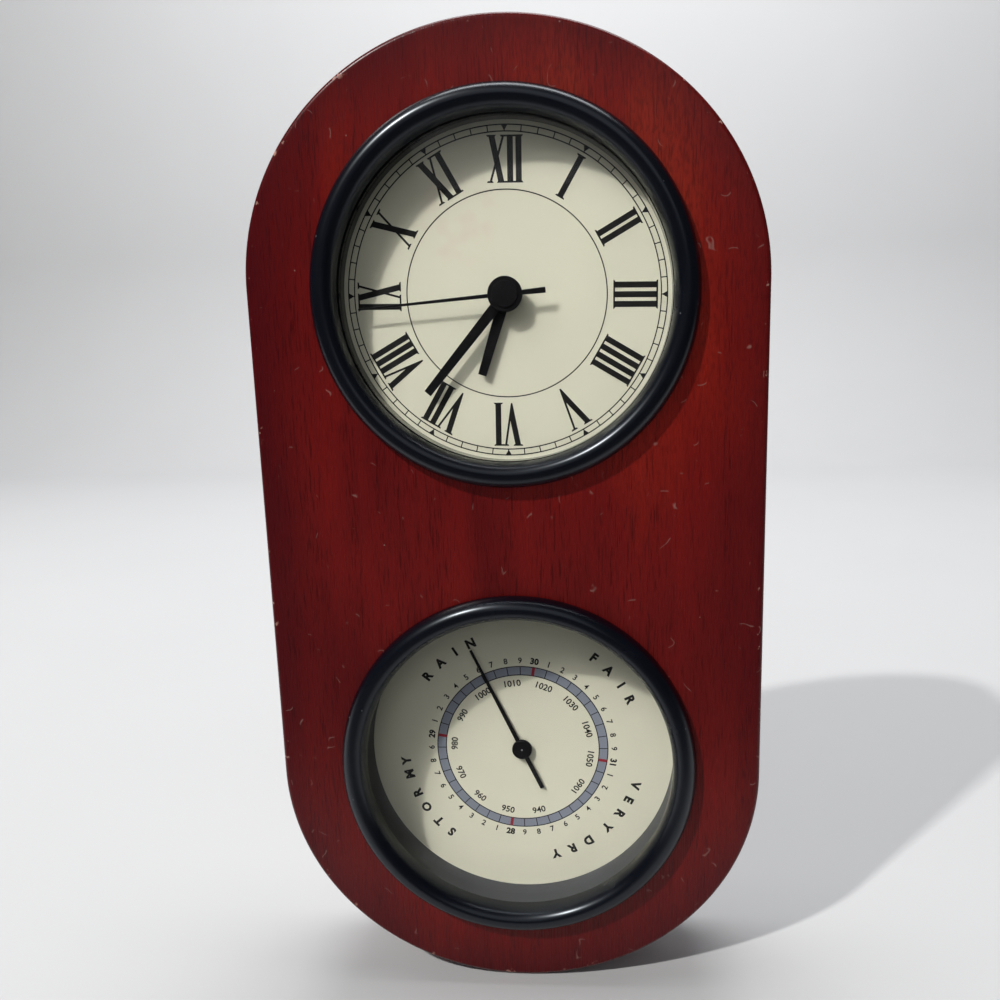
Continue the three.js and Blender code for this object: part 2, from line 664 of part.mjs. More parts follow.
function buildGoingTrain(group) {
  const secondToThird = moduleFor(THIRD_DISTANCE, SECOND_PINION, THIRD_WHEEL);
  const thirdToCentre = moduleFor(THIRD_DISTANCE, THIRD_PINION, CENTRE_WHEEL);
  const secondToIntermediate = moduleFor(INTERMEDIATE_DISTANCE, SECOND_WHEEL, INTERMEDIATE_PINION);
  const intermediateToRotor = moduleFor(ROTOR_DISTANCE, INTERMEDIATE_WHEEL, ROTOR_PINION);
  const thirdPhase = meshPhase(SECOND_PINION, 0, THIRD_DIRECTION, THIRD_WHEEL);
  const centrePhase = meshPhase(THIRD_PINION, 0, THIRD_DIRECTION + 180, CENTRE_WHEEL);
  const intermediatePhase = meshPhase(SECOND_WHEEL, 0, INTERMEDIATE_DIRECTION, INTERMEDIATE_PINION);
  const rotorPhase = meshPhase(INTERMEDIATE_WHEEL, 0, ROTOR_DIRECTION, ROTOR_PINION);

  const second = join(
    bar(ARBOR_RADIUS, capDisc + BARE, coverFront + PIVOT_DEPTH - FIT, { facets: TINY_ROUND }),
    pinion(SECOND_PINION, secondToThird, 0, secondWheelFront),
    gear(SECOND_WHEEL, secondToIntermediate, 0, secondWheelFront, WHEEL_THICKNESS),
  );
  piece(group, "second_wheel", materials.nylon, second, centreAxis);

  const third = join(
    arbor(),
    pinion(THIRD_PINION, thirdToCentre, 0, thirdWheelFront),
    gear(THIRD_WHEEL, secondToThird, thirdPhase, thirdWheelFront, WHEEL_THICKNESS),
  );
  piece(group, "third_wheel", materials.nylon, third, thirdAxis);

  const centre = gear(
    CENTRE_WHEEL,
    thirdToCentre,
    centrePhase,
    centreWheelFront,
    WHEEL_THICKNESS,
    CANNON_RADIUS + 2 * RUN,
  );
  piece(group, "centre_wheel", materials.brass, centre, centreAxis);

  const intermediate = join(
    arbor(),
    pinion(INTERMEDIATE_PINION, secondToIntermediate, intermediatePhase, intermediateFront),
    gear(INTERMEDIATE_WHEEL, intermediateToRotor, 0, intermediateFront, WHEEL_THICKNESS),
  );
  piece(group, "intermediate_wheel", materials.nylon, intermediate, intermediateAxis);

  const rotor = join(
    arbor(),
    pinion(ROTOR_PINION, intermediateToRotor, rotorPhase, magnetFront),
    bar(ROTOR_RADIUS, magnetFront, magnetFront + ROTOR_THICKNESS),
  );
  piece(group, "rotor", materials.steel, rotor, rotorAxis);
}

function buildMotionWork(group) {
  const cannonToMotion = moduleFor(MOTION_DISTANCE, CANNON_PINION, MOTION_WHEEL);
  const motionToHour = moduleFor(MOTION_DISTANCE, MOTION_PINION, HOUR_WHEEL);
  const motionToSet = moduleFor(SET_DISTANCE, MOTION_WHEEL, SET_PINION);
  const motionPhase = meshPhase(CANNON_PINION, 0, MOTION_DIRECTION, MOTION_WHEEL);
  const hourPhase = meshPhase(MOTION_PINION, 0, MOTION_DIRECTION + 180, HOUR_WHEEL);
  const setPhase = meshPhase(MOTION_WHEEL, motionPhase, SET_DIRECTION, SET_PINION);

  const washerFront = centreWheelFront - BARE - WASHER_THICKNESS;
  const washer = ring(WASHER_RADIUS, CANNON_RADIUS + 2 * RUN, washerFront, washerFront + WASHER_THICKNESS, {
    facets: SMALL_ROUND,
  });
  piece(group, "clutch_washer", materials.steel, washer, centreAxis);

  const cannonBack = centreWheelFront + WHEEL_THICKNESS + RUN;
  const cannon = cut(
    join(
      bar(CANNON_RADIUS, minuteFront - BARE, cannonBack),
      gear(CANNON_PINION, cannonToMotion, 0, motionWheelFront - RUN, WHEEL_THICKNESS + 2 * RUN),
    ),
    bar(pivotHole, minuteFront - 1, cannonBack + 1, { facets: TINY_ROUND }),
  );
  piece(group, "cannon_pinion", materials.brass, cannon, centreAxis);

  const motion = cut(
    join(
      gear(MOTION_PINION, motionToHour, 0, hourWheelFront, layer),
      gear(MOTION_WHEEL, cannonToMotion, motionPhase, motionWheelFront, WHEEL_THICKNESS),
    ),
    bar(STUD_RADIUS + RUN, hourWheelFront - 1, centreWheelFront, { facets: TINY_ROUND }),
  );
  piece(group, "motion_wheel", materials.nylon, motion, motionAxis);

  const hour = cut(
    join(
      bar(hourTubeOuter, hourFront - BARE, hourWheelFront + WHEEL_THICKNESS),
      gear(HOUR_WHEEL, motionToHour, hourPhase, hourWheelFront, WHEEL_THICKNESS),
    ),
    bar(hourTubeInner, hourFront - 1, motionWheelFront),
  );
  piece(group, "hour_wheel", materials.nylon, hour, centreAxis);

  const setter = join(
    bar(SET_ARBOR_RADIUS, caseInner + END_PLAY, coverBack + END_PLAY + KNOB_LENGTH / 2),
    gear(SET_PINION, motionToSet, setPhase, motionWheelFront - RUN, WHEEL_THICKNESS + 2 * RUN),
  );
  piece(group, "setting_arbor", materials.nylon, setter, setAxis);

  const knobFront = coverBack + END_PLAY;
  const knob = cut(
    plate(lobedShape(KNOB_RADIUS, KNOB_LOBES, KNOB_LOBE), knobFront, KNOB_LENGTH),
    bar(SET_ARBOR_RADIUS + BARE, knobFront - 1, knobFront + KNOB_LENGTH / 2 + FIT),
  );
  piece(group, "setting_knob", materials.plastic, knob, setAxis);
}

/** A round outline with grips, each a shallow step. */
function lobedShape(radius, lobes, depth) {
  const shape = new THREE.Shape();
  const step = 360 / lobes;
  for (let i = 0; i < lobes; i++) {
    const corners = [
      [radius, 0],
      [radius, 0.5],
      [radius - depth, 0.62],
      [radius - depth, 0.88],
    ];
    for (const [r, share] of corners) {
      const { x, z } = polar(r, (i + share) * step);
      if (i === 0 && share === 0) shape.moveTo(x, z);
      else shape.lineTo(x, z);
    }
  }
  return shape;
}

/** A hand as a tapered bar from its centre to its tip at twelve, with an optional tail. */
function handShape(length, [rootWidth, tipWidth], tail = 0, tailWidth = rootWidth) {
  const shape = new THREE.Shape();
  shape.moveTo(-rootWidth / 2, 0);
  if (tail) {
    shape.lineTo(-tailWidth / 2, -tail);
    shape.lineTo(tailWidth / 2, -tail);
  }
  shape.lineTo(rootWidth / 2, 0);
  shape.lineTo(tipWidth / 2, length);
  shape.lineTo(-tipWidth / 2, length);
  return shape;
}

function tubeHand(length, width, hole, front) {
  return cut(
    join(
      plate(handShape(length, width), front, HAND_THICKNESS),
      bar(hole + HAND_BOSS, front, front + HAND_THICKNESS),
    ),
    bar(hole, front - 1, front + HAND_THICKNESS + 1),
  );
}

function buildHands(group) {
  const hour = tubeHand(clockRingInner - HOUR_TO_RING, HOUR_WIDTH, hourTubeOuter + BARE, hourFront);
  piece(group, "hour_hand", materials.hand, hour, { turn: HOUR_ANGLE });
  const minute = tubeHand(clockRingInner - MINUTE_TO_RING, MINUTE_WIDTH, CANNON_RADIUS + BARE, minuteFront);
  piece(group, "minute_hand", materials.hand, minute, { turn: MINUTE_ANGLE });
  const bladeFront = capBack - HAND_THICKNESS;
  const blade = handShape(clockRingInner - SECOND_TO_RING, SECOND_WIDTH, SECOND_TAIL, SECOND_TAIL_WIDTH);
  const second = cut(
    join(
      bar(CAP_BOSS_RADIUS, capFront, capBack, { facets: MEDIUM_ROUND }),
      bar(CAP_RADIUS, capDisc, capBack, { facets: MEDIUM_ROUND }),
      plate(blade, bladeFront, HAND_THICKNESS),
    ),
    bar(ARBOR_RADIUS + BARE, capDisc, capBack + 1, { facets: TINY_ROUND }),
  );
  piece(group, "second_hand", materials.hand, second, { turn: SECOND_ANGLE });
}

function buildMovementCase(group) {
  const outer = [-caseHalf, caseHalf];
  const pivots = [thirdAxis, intermediateAxis, rotorAxis];
  const tray = cut(
    join(
      block([outer[0], caseFront, outer[0]], [outer[1], coverFront, outer[1]]),
      block(
        [-caseFlange / 2, caseFront, -caseFlange / 2],
        [caseFlange / 2, caseFront + CASE_FLANGE_THICKNESS, caseFlange / 2],
      ),
    ),
    block([-caseHollow, caseInner, dividerTop], [caseHollow, coverFront + 1, caseHollow]),
    block([-caseHollow, caseInner, -caseHollow], [caseHollow, coverFront + 1, dividerTop - CASE_WALL]),
  );
  const circuitPosts = [-PCB_POST_SPREAD / 2, PCB_POST_SPREAD / 2].map((offset) =>
    bar(PCB_POST_RADIUS, caseInner, CIRCUIT.front, {
      x: CIRCUIT.x,
      z: CIRCUIT.z + offset,
      facets: TINY_ROUND,
    }),
  );
  const coilPosts = [statorLeft + STATOR_POST_INSET, statorRight - STATOR_POST_INSET].map((x) =>
    bar(STATOR_POST_RADIUS, caseInner, coreFront, { x, z: COIL_Z, facets: TINY_ROUND }),
  );
  const studBack = centreWheelFront - END_PLAY;
  const stud = bar(STUD_RADIUS, caseInner, studBack, { ...motionAxis, facets: TINY_ROUND });
  const bush = bar(bushOuter, CLOCK_DIAL_DEPTH - BUSH_PROUD, caseFront);
  const holes = pivots.map((place) =>
    bar(pivotHole, caseInner - PIVOT_DEPTH, caseInner + 1, { ...place, facets: TINY_ROUND }),
  );
  const bore = bar(bushInner, CLOCK_DIAL_DEPTH - BUSH_PROUD - 1, caseInner + 1);
  const body = cut(join(tray, ...circuitPosts, ...coilPosts, stud, bush), ...holes, bore);
  piece(group, "movement_front_case", materials.plastic, body);

  const coverHoles = [centreAxis, ...pivots].map((place) =>
    bar(pivotHole, coverFront - 1, coverFront + PIVOT_DEPTH, { ...place, facets: TINY_ROUND }),
  );
  const cover = cut(
    block([outer[0], coverFront, dividerTop - CASE_WALL], [outer[1], coverBack, outer[1]]),
    ...coverHoles,
    bar(SET_ARBOR_RADIUS + RUN, coverFront - 1, coverBack + 1, setAxis),
  );
  piece(group, "movement_back_cover", materials.plastic, cover);
}

function buildCoil(group) {
  const coreY = coreFront + CORE_THICKNESS / 2;
  const coilLeft = STATOR_CENTRE_X - COIL_LENGTH / 2;
  const coilRight = STATOR_CENTRE_X + COIL_LENGTH / 2;
  const stator = cut(
    block(
      [statorLeft, statorFront, STATOR_BOTTOM],
      [statorRight, statorFront + STATOR_THICKNESS, STATOR_TOP],
    ),
    block(
      [coilLeft - FIT, statorFront - 1, STATOR_WAIST],
      [coilRight + FIT, statorFront + STATOR_THICKNESS + 1, STATOR_TOP + 1],
    ),
    bar(ROTOR_RADIUS + ROTOR_AIR, statorFront - 1, statorFront + STATOR_THICKNESS + 1, rotorAxis),
  );
  piece(group, "stator", materials.steel, stator);
  const core = block(
    [statorLeft, coreFront, COIL_Z - CORE_HEIGHT / 2],
    [statorRight, statorFront, COIL_Z + CORE_HEIGHT / 2],
  );
  piece(group, "coil_core", materials.steel, core);
  const place = { y: coreY, z: COIL_Z };
  const coreHole = Math.hypot(CORE_HEIGHT, CORE_THICKNESS) / 2 + BARE;
  const bobbin = cut(
    join(
      crossBar(COIL_BOBBIN_RADIUS, coilLeft, coilRight, place),
      crossBar(COIL_RADIUS, coilLeft, coilLeft + COIL_FLANGE, place),
      crossBar(COIL_RADIUS, coilRight - COIL_FLANGE, coilRight, place),
    ),
    crossBar(coreHole, coilLeft - 1, coilRight + 1, place),
  );
  piece(group, "coil_bobbin", materials.nylon, bobbin);
  const windingLeft = coilLeft + COIL_FLANGE + BARE;
  const windingRight = coilRight - COIL_FLANGE - BARE;
  const winding = cut(
    crossBar(COIL_RADIUS - BARE, windingLeft, windingRight, place),
    crossBar(COIL_BOBBIN_RADIUS + BARE, coilLeft, coilRight, place),
  );
  piece(group, "coil_winding", materials.copper, winding);
}

function buildCircuitAndBattery(group) {
  const { x, z, width, height, thickness, front } = CIRCUIT;
  const board = block(
    [x - width / 2, front, z - height / 2],
    [x + width / 2, front + thickness, z + height / 2],
  );
  piece(group, "circuit_board", materials.circuit, board);
  const crystal = new THREE.CylinderGeometry(CRYSTAL_RADIUS, CRYSTAL_RADIUS, CRYSTAL_LENGTH, TINY_ROUND);
  const crystalY = front - BARE - CRYSTAL_RADIUS;
  const crystalSolid = solid(crystal.rotateX(Math.PI / 2).translate(x, crystalY, z));
  piece(group, "quartz_crystal", materials.steel, crystalSolid);

  const y = caseInner + FIT + BATTERY_RADIUS;
  const half = (BATTERY_LENGTH + BATTERY_NUB) / 2;
  const battery = join(
    crossBar(BATTERY_RADIUS, -half, half - BATTERY_NUB, { y, z: batteryZ, facets: MEDIUM_ROUND }),
    crossBar(BATTERY_NUB_RADIUS, half - 2 * BATTERY_NUB, half, { y, z: batteryZ }),
  );
  piece(group, "battery", materials.battery, battery);
  const sides = [
    ["battery_contact_positive", 1],
    ["battery_contact_negative", -1],
  ];
  for (const [name, side] of sides) {
    const wall = side * caseHollow;
    const face = side * (caseHollow - CONTACT_THICKNESS);
    const tip = side * (half + FIT);
    const leaf = join(
      block(
        [Math.min(wall, face), y - CONTACT_WIDTH / 2, batteryZ - CONTACT_WIDTH / 2],
        [Math.max(wall, face), y + CONTACT_WIDTH / 2, batteryZ + CONTACT_WIDTH / 2],
      ),
      crossBar(BATTERY_NUB_RADIUS, Math.min(wall, tip), Math.max(wall, tip), { y, z: batteryZ }),
    );
    piece(group, name, materials.steel, leaf);
  }
}

function buildClock(root) {
  const group = new THREE.Group();
  group.position.set(0, -BOARD_THICKNESS, dialZ);
  root.add(group);
  buildShell(group, "clock", {
    lipRadius: LENS_RADIUS - CLOCK_LIP,
    lipDepth: CLOCK_LIP_DEPTH,
    dialDepth: CLOCK_DIAL_DEPTH,
    dialHole: CLOCK_DIAL_HOLE,
    ringFrontRadius: clockRingInner,
    ringBackRadius: clockRingInner,
  });
  const floorBack = caseFront + CLOCK_CUP_DEPTH;
  const window = caseHalf + FIT;
  const postPlace = caseFlange / 2 - CUP_POST / 2;
  const postFront = caseFront + CASE_FLANGE_THICKNESS;
  const corners = [-1, 1].flatMap((sx) => [-1, 1].map((sz) => [sx * postPlace, sz * postPlace]));
  const posts = corners.map(([x, z]) =>
    block(
      [x - CUP_POST / 2, postFront, z - CUP_POST / 2],
      [x + CUP_POST / 2, floorBack - CUP_WALL / 2, z + CUP_POST / 2],
    ),
  );
  const housing = cut(
    join(cup(caseFront, CLOCK_CUP_DEPTH), ...posts),
    block([-window, caseFront - 1, -window], [window, floorBack + 1, window]),
  );
  piece(group, "clock_housing", materials.plastic, housing);
  buildMovementCase(group);
  buildGoingTrain(group);
  buildMotionWork(group);
  buildCoil(group);
  buildCircuitAndBattery(group);
  buildHands(group);
}

// Depths of the barometer, from the plates behind its dial to the cup's floor

const baroDialBack = BARO_DIAL_DEPTH + DIAL_THICKNESS;
const frontPlateFront = baroDialBack + PLATE_TO_DIAL;
const sectorFront = frontPlateFront + PLATE_THICKNESS + END_PLAY;
const sectorBack = sectorFront + WHEEL_THICKNESS;
const hairspringFront = sectorBack + END_PLAY;
const backPlateFront = hairspringFront + HAIRSPRING_HEIGHT + END_PLAY;
const backPlateBack = backPlateFront + PLATE_THICKNESS;
const rockerY = backPlateBack + ROCKER_BEHIND_PLATE;
const baroFloorBack = baroDialBack + BARO_CUP_DEPTH;
const baroFloor = baroFloorBack - CUP_WALL;
const baseFront = baroFloor - BASE_THICKNESS;
const carrierBack = baseFront - CARRIER_RISE;
const carrierFront = carrierBack - CARRIER_THICKNESS;
const capsuleFront = carrierFront - CAPSULE_THICKNESS;
const sectorAxis = polar(SECTOR_DISTANCE, SECTOR_DIRECTION);
const capsuleZ = sectorAxis.z - ROCKER_ARM;

function buildPlates(group) {
  const outline = roundedRectangle(PLATE_WIDTH, PLATE_HEIGHT, PLATE_CORNER, PLATE_CENTRE);
  const holes = (front, pillarRadius) => [
    ...[centreAxis, sectorAxis].map((place) =>
      bar(pivotHole, front - 1, front + 2, { ...place, facets: TINY_ROUND }),
    ),
    ...PILLARS.map((place) =>
      bar(pillarRadius + BARE, front - 1, front + 2, { ...place, facets: TINY_ROUND }),
    ),
  ];
  const frontPlate = cut(
    plate(outline, frontPlateFront, PLATE_THICKNESS, 3),
    ...holes(frontPlateFront, PILLAR_RADIUS - 2 * PILLAR_STEP),
  );
  piece(group, "movement_front_plate", materials.brass, frontPlate);
  const pinWay = bar(PIN_WAY_RADIUS, backPlateFront - 1, backPlateBack + 1, {
    x: sectorAxis.x - SECTOR_TAIL,
    z: sectorAxis.z,
    facets: TINY_ROUND,
  });
  const backPlate = cut(
    plate(outline, backPlateFront, PLATE_THICKNESS, 3),
    ...holes(backPlateFront, PILLAR_RADIUS - PILLAR_STEP),
    pinWay,
  );
  piece(group, "movement_back_plate", materials.brass, backPlate);
  const [neck, tip] = [PILLAR_RADIUS - PILLAR_STEP, PILLAR_RADIUS - 2 * PILLAR_STEP];
  const pillar = join(
    bar(PILLAR_RADIUS, backPlateBack, baseFront, { facets: TINY_ROUND }),
    bar(neck, frontPlateFront + PLATE_THICKNESS, baseFront, { facets: TINY_ROUND }),
    bar(tip, frontPlateFront, baseFront, { facets: TINY_ROUND }),
  );
  piece(group, "movement_pillar_left", materials.brass, pillar, PILLARS[0]);
  piece(group, "movement_pillar_right", materials.brass, pillar, PILLARS[1]);
}

function buildPointerTrain(group) {
  const module = moduleFor(SECTOR_DISTANCE, SECTOR_TEETH_ROUND, POINTER_PINION);
  const towardsPinion = SECTOR_DIRECTION + 180;
  const pinionPhase = meshPhase(SECTOR_TEETH_ROUND, towardsPinion, towardsPinion, POINTER_PINION);
  const halfSweep = ((SECTOR_TEETH - 1) / 2) * (360 / SECTOR_TEETH_ROUND);
  const toothed = toothedShape(SECTOR_TEETH_ROUND, module, towardsPinion - halfSweep, SECTOR_TEETH);
  const tailFoot = ARBOR_RADIUS + FIT;
  const tail = block(
    [-SECTOR_TAIL - SECTOR_TAIL_WIDTH, sectorFront, tailFoot],
    [0, sectorBack, tailFoot + SECTOR_TAIL_WIDTH],
  );
  const sector = join(
    plate(toothed, sectorFront, WHEEL_THICKNESS),
    tail,
    bar(SECTOR_HUB_RADIUS, sectorFront, sectorBack, { facets: SMALL_ROUND }),
    bar(ARBOR_RADIUS, frontPlateFront + BARE, backPlateBack - BARE, { facets: TINY_ROUND }),
  );
  piece(group, "sector", materials.brass, sector, sectorAxis);

  const hubFront = BARO_DIAL_DEPTH - POINTER_OVER_DIAL - POINTER_HUB;
  const spindle = join(
    bar(ARBOR_RADIUS, hubFront + FIT, backPlateBack - BARE, { facets: TINY_ROUND }),
    gear(POINTER_PINION, module, pinionPhase, sectorFront - RUN, WHEEL_THICKNESS + 2 * RUN),
  );
  piece(group, "pointer_arbor", materials.brass, spindle, centreAxis);

  const blade = handShape(baroRingBack - POINTER_TO_RING, POINTER_WIDTH, POINTER_TAIL, POINTER_TAIL_WIDTH);
  const pointer = cut(
    join(
      bar(POINTER_HUB_RADIUS, hubFront, hubFront + POINTER_HUB, { facets: MEDIUM_ROUND }),
      plate(blade, hubFront + POINTER_HUB - HAND_THICKNESS, HAND_THICKNESS),
    ),
    bar(ARBOR_RADIUS + BARE, hubFront + FIT / 2, hubFront + POINTER_HUB + 1, { facets: TINY_ROUND }),
  );
  piece(group, "pointer", materials.hand, pointer, { turn: POINTER_ANGLE });
}

/** A flat spiral whose radius grows evenly with its angle, and the stud that holds its outer end. */
function buildHairspring(group) {
  const start = ARBOR_RADIUS + 2 * FIT;
  const middle = hairspringFront + HAIRSPRING_HEIGHT / 2;
  const steps = HAIRSPRING_TURNS * TINY_ROUND;
  const points = [];
  for (let i = 0; i <= steps; i++) {
    const share = i / steps;
    const { x, z } = polar(start + (HAIRSPRING_RADIUS - start) * share, share * HAIRSPRING_TURNS * 360);
    points.push(new THREE.Vector3(x, middle, z));
  }
  const section = new THREE.Shape();
  const [w, h] = [HAIRSPRING_HEIGHT / 2, HAIRSPRING_THICKNESS / 2];
  section.moveTo(-w, -h);
  section.lineTo(w, -h);
  section.lineTo(w, h);
  section.lineTo(-w, h);
  const path = new THREE.CatmullRomCurve3(points);
  const spring = new THREE.ExtrudeGeometry(section, { steps, extrudePath: path, bevelEnabled: false });
  piece(group, "hairspring", materials.steel, solid(spring));
  const studPlace = polar(
    HAIRSPRING_RADIUS + HAIRSPRING_THICKNESS / 2 + BARE + HAIRSPRING_STUD_RADIUS,
    HAIRSPRING_TURNS * 360,
  );
  const [studFront, studBack] = [frontPlateFront + PLATE_THICKNESS, hairspringFront + HAIRSPRING_HEIGHT];
  const stud = bar(HAIRSPRING_STUD_RADIUS, studFront, studBack, { facets: TINY_ROUND });
  piece(group, "hairspring_stud", materials.brass, stud, studPlace);
}

function buildCapsule(group) {
  const armZ = sectorAxis.z;
  const reach = rockerY - sectorFront;
  const armFront = rockerY - ROCKER_ARM_THICKNESS / 2;
  const rocker = join(
    crossBar(ROCKER_RADIUS, -ROCKER_LENGTH / 2, ROCKER_LENGTH / 2, {
      y: rockerY,
      z: armZ,
      facets: TINY_ROUND,
    }),
    block(
      [-ROCKER_ARM_WIDTH / 2, armFront, capsuleZ - ROCKER_ARM_WIDTH / 2],
      [ROCKER_ARM_WIDTH / 2, armFront + ROCKER_ARM_THICKNESS, armZ],
    ),
    bar(ARBOR_RADIUS, rockerY - reach, rockerY, {
      x: sectorAxis.x - SECTOR_TAIL,
      z: armZ,
      facets: TINY_ROUND,
    }),
  );
  piece(group, "rocker", materials.steel, rocker);
  const bracketX = ROCKER_LENGTH / 2 - BRACKET_THICKNESS / 2 - FIT;
  for (const side of [-1, 1]) {
    const x = side * bracketX;
    const bracket = cut(
      block(
        [x - BRACKET_THICKNESS / 2, rockerY - 2 * ROCKER_RADIUS, armZ - BRACKET_WIDTH / 2],
        [x + BRACKET_THICKNESS / 2, baseFront, armZ + BRACKET_WIDTH / 2],
      ),
      crossBar(ROCKER_RADIUS + RUN, x - BRACKET_THICKNESS, x + BRACKET_THICKNESS, { y: rockerY, z: armZ }),
    );
    piece(group, "rocker_bracket_" + (side < 0 ? "left" : "right"), materials.brass, bracket);
  }

  const studFront = armFront + ROCKER_ARM_THICKNESS + FIT;
  const wellFloor = capsuleFront + CAPSULE_WELL;
  const stud = bar(CAPSULE_STUD_RADIUS, studFront, wellFloor - CAPSULE_TRAVEL, { facets: TINY_ROUND });
  piece(group, "capsule_stud", materials.brass, stud, { z: capsuleZ });
  piece(group, "aneroid_capsule", materials.capsule, capsule(wellFloor), { z: capsuleZ });
}

/** The capsule: a well for the stud, rippled skin, a seam round its waist and a flat back. */
function capsule(wellFloor) {
  const valley = capsuleFront + CAPSULE_WAVE;
  const shoulder = CAPSULE_RADIUS - CAPSULE_RIM;
  const seamFront = (capsuleFront + carrierFront - CAPSULE_RIM_THICKNESS) / 2;
  const outline = [
    [0, wellFloor],
    [CAPSULE_WELL_RADIUS, wellFloor],
    [CAPSULE_WELL_RADIUS, valley],
  ];
  const step = (shoulder - CAPSULE_WELL_RADIUS) / (2 * CAPSULE_WAVES);
  for (let i = 1; i <= 2 * CAPSULE_WAVES; i++) {
    outline.push([CAPSULE_WELL_RADIUS + i * step, i % 2 ? capsuleFront : valley]);
  }
  outline.push(
    [shoulder, seamFront],
    [CAPSULE_RADIUS, seamFront],
    [CAPSULE_RADIUS, seamFront + CAPSULE_RIM_THICKNESS],
    [shoulder, seamFront + CAPSULE_RIM_THICKNESS],
    [shoulder, carrierFront],
    [0, carrierFront],
  );
  return revolve(outline, { facets: MEDIUM_ROUND });
}

function buildBase(group) {
  const carrierTop = capsuleZ + CARRIER_LENGTH / 2;
  const carrier = join(
    block(
      [-CARRIER_WIDTH / 2, carrierFront, carrierTop - CARRIER_LENGTH],
      [CARRIER_WIDTH / 2, carrierBack, carrierTop],
    ),
    block(
      [-CARRIER_WIDTH / 2, carrierFront, carrierTop - CARRIER_FOOT],
      [CARRIER_WIDTH / 2, baseFront, carrierTop],
    ),
  );
  piece(group, "capsule_carrier", materials.steel, carrier);
  const screws = [-SCREW_SPREAD, SCREW_SPREAD].map((x) => ({ x, z: BASE_CENTRE_Z }));
  const adjuster = { x: 0, z: ADJUSTER_Z };
  const drill = (radius, place) =>
    bar(radius, baseFront - 1, baroFloorBack + 1, { ...place, facets: TINY_ROUND });
  const screwHoles = screws.map((place) => drill(SCREW_RADIUS + FIT, place));
  const adjusterHole = drill(ADJUSTER_RADIUS + FIT, adjuster);
  const base = cut(
    bar(BASE_RADIUS, baseFront, baroFloor, { z: BASE_CENTRE_Z, facets: MEDIUM_ROUND }),
    ...screwHoles,
    adjusterHole,
  );
  piece(group, "mechanism_base", materials.brass, base);
  const housing = cut(cup(baroDialBack, BARO_CUP_DEPTH), ...screwHoles, adjusterHole);
  piece(group, "barometer_housing", materials.plastic, housing);

  const slotted = (radius, headRadius, tip) => {
    const headBack = baroFloorBack + SCREW_HEAD;
    return cut(
      join(
        bar(radius, tip, headBack, { facets: TINY_ROUND }),
        bar(headRadius, baroFloorBack, headBack),
      ),
      block(
        [-headRadius, headBack - SLOT_DEPTH, -SLOT_WIDTH / 2],
        [headRadius, headBack + 1, SLOT_WIDTH / 2],
      ),
    );
  };
  const baseScrew = slotted(SCREW_RADIUS, SCREW_HEAD_RADIUS, baseFront + FIT);
  piece(group, "base_screw_left", materials.steel, baseScrew, screws[0]);
  piece(group, "base_screw_right", materials.steel, baseScrew, screws[1]);
  const adjusterScrew = slotted(ADJUSTER_RADIUS, ADJUSTER_HEAD_RADIUS, carrierBack + FIT);
  piece(group, "calibration_screw", materials.brass, adjusterScrew, adjuster);
}

function buildBarometer(root) {
  const group = new THREE.Group();
  group.position.set(0, -BOARD_THICKNESS, -dialZ);
  root.add(group);
  buildShell(group, "barometer", {
    lipRadius: LENS_RADIUS - BARO_LIP,
    lipDepth: BARO_LIP_DEPTH,
    dialDepth: BARO_DIAL_DEPTH,
    dialHole: BARO_DIAL_HOLE,
    ringFrontRadius: baroRingFront,
    ringBackRadius: baroRingBack,
  });
  buildBase(group);
  buildPlates(group);
  buildPointerTrain(group);
  buildHairspring(group);
  buildCapsule(group);
}

const weatherStation = new THREE.Group();
buildBoard(weatherStation);
buildHanger(weatherStation);
buildClock(weatherStation);
buildBarometer(weatherStation);

export default weatherStation;
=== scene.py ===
import json
import math

import bpy
import numpy as np
from mathutils import Matrix, Vector


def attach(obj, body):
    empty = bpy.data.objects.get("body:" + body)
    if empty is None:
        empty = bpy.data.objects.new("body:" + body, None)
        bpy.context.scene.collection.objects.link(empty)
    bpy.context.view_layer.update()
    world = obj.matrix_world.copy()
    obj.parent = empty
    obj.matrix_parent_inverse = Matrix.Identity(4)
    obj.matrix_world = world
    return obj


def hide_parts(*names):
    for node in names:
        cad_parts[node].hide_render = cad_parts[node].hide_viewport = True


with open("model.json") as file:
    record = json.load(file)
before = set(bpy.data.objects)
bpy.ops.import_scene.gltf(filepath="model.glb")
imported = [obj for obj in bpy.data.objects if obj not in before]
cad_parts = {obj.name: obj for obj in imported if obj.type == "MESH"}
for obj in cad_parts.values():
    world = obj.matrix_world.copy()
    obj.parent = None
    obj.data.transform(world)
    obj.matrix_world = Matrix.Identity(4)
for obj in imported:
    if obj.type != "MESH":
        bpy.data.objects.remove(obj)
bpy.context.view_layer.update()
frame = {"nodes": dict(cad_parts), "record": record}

# A wall board with a quartz clock above an aneroid barometer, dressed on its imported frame.
# Shapes are worked out in millimetres as (x, depth, z): x to the right, depth from the board's
# front face towards the wall, z up. Angles on a dial are degrees clockwise from its top.

MM = 0.001
BEZEL_ROUND, ROUND, SMALL_ROUND = 256, 192, 64  # steps round a turned piece

# Board
BOARD_HALF = 76
BOARD_TOP = 147.5
BOARD_THICKNESS = 32
END_RISE, END_STRETCH = 72, 1.0556  # the second is the board's half width over the first
FRONT_EDGE, BACK_EDGE = 1.5, 0.4
BORE = 54

# Hanger in the back
HANGER_Z = 138.3
HANGER_SIZE = (34, 7)
HANGER_FRONT, HANGER_BACK = 30.6, 31.4
NOTCHED, NOTCHES = 15.4, 11  # length of the notched edge and number of notches
NAIL_X, NAIL_HOLE = 14.4, 0.8
REBATE = (17.3, 3.8)  # half sizes of the recess that the plate lies in
POCKET = ((-8, 26, 129.8), (8, 33, 138.8))

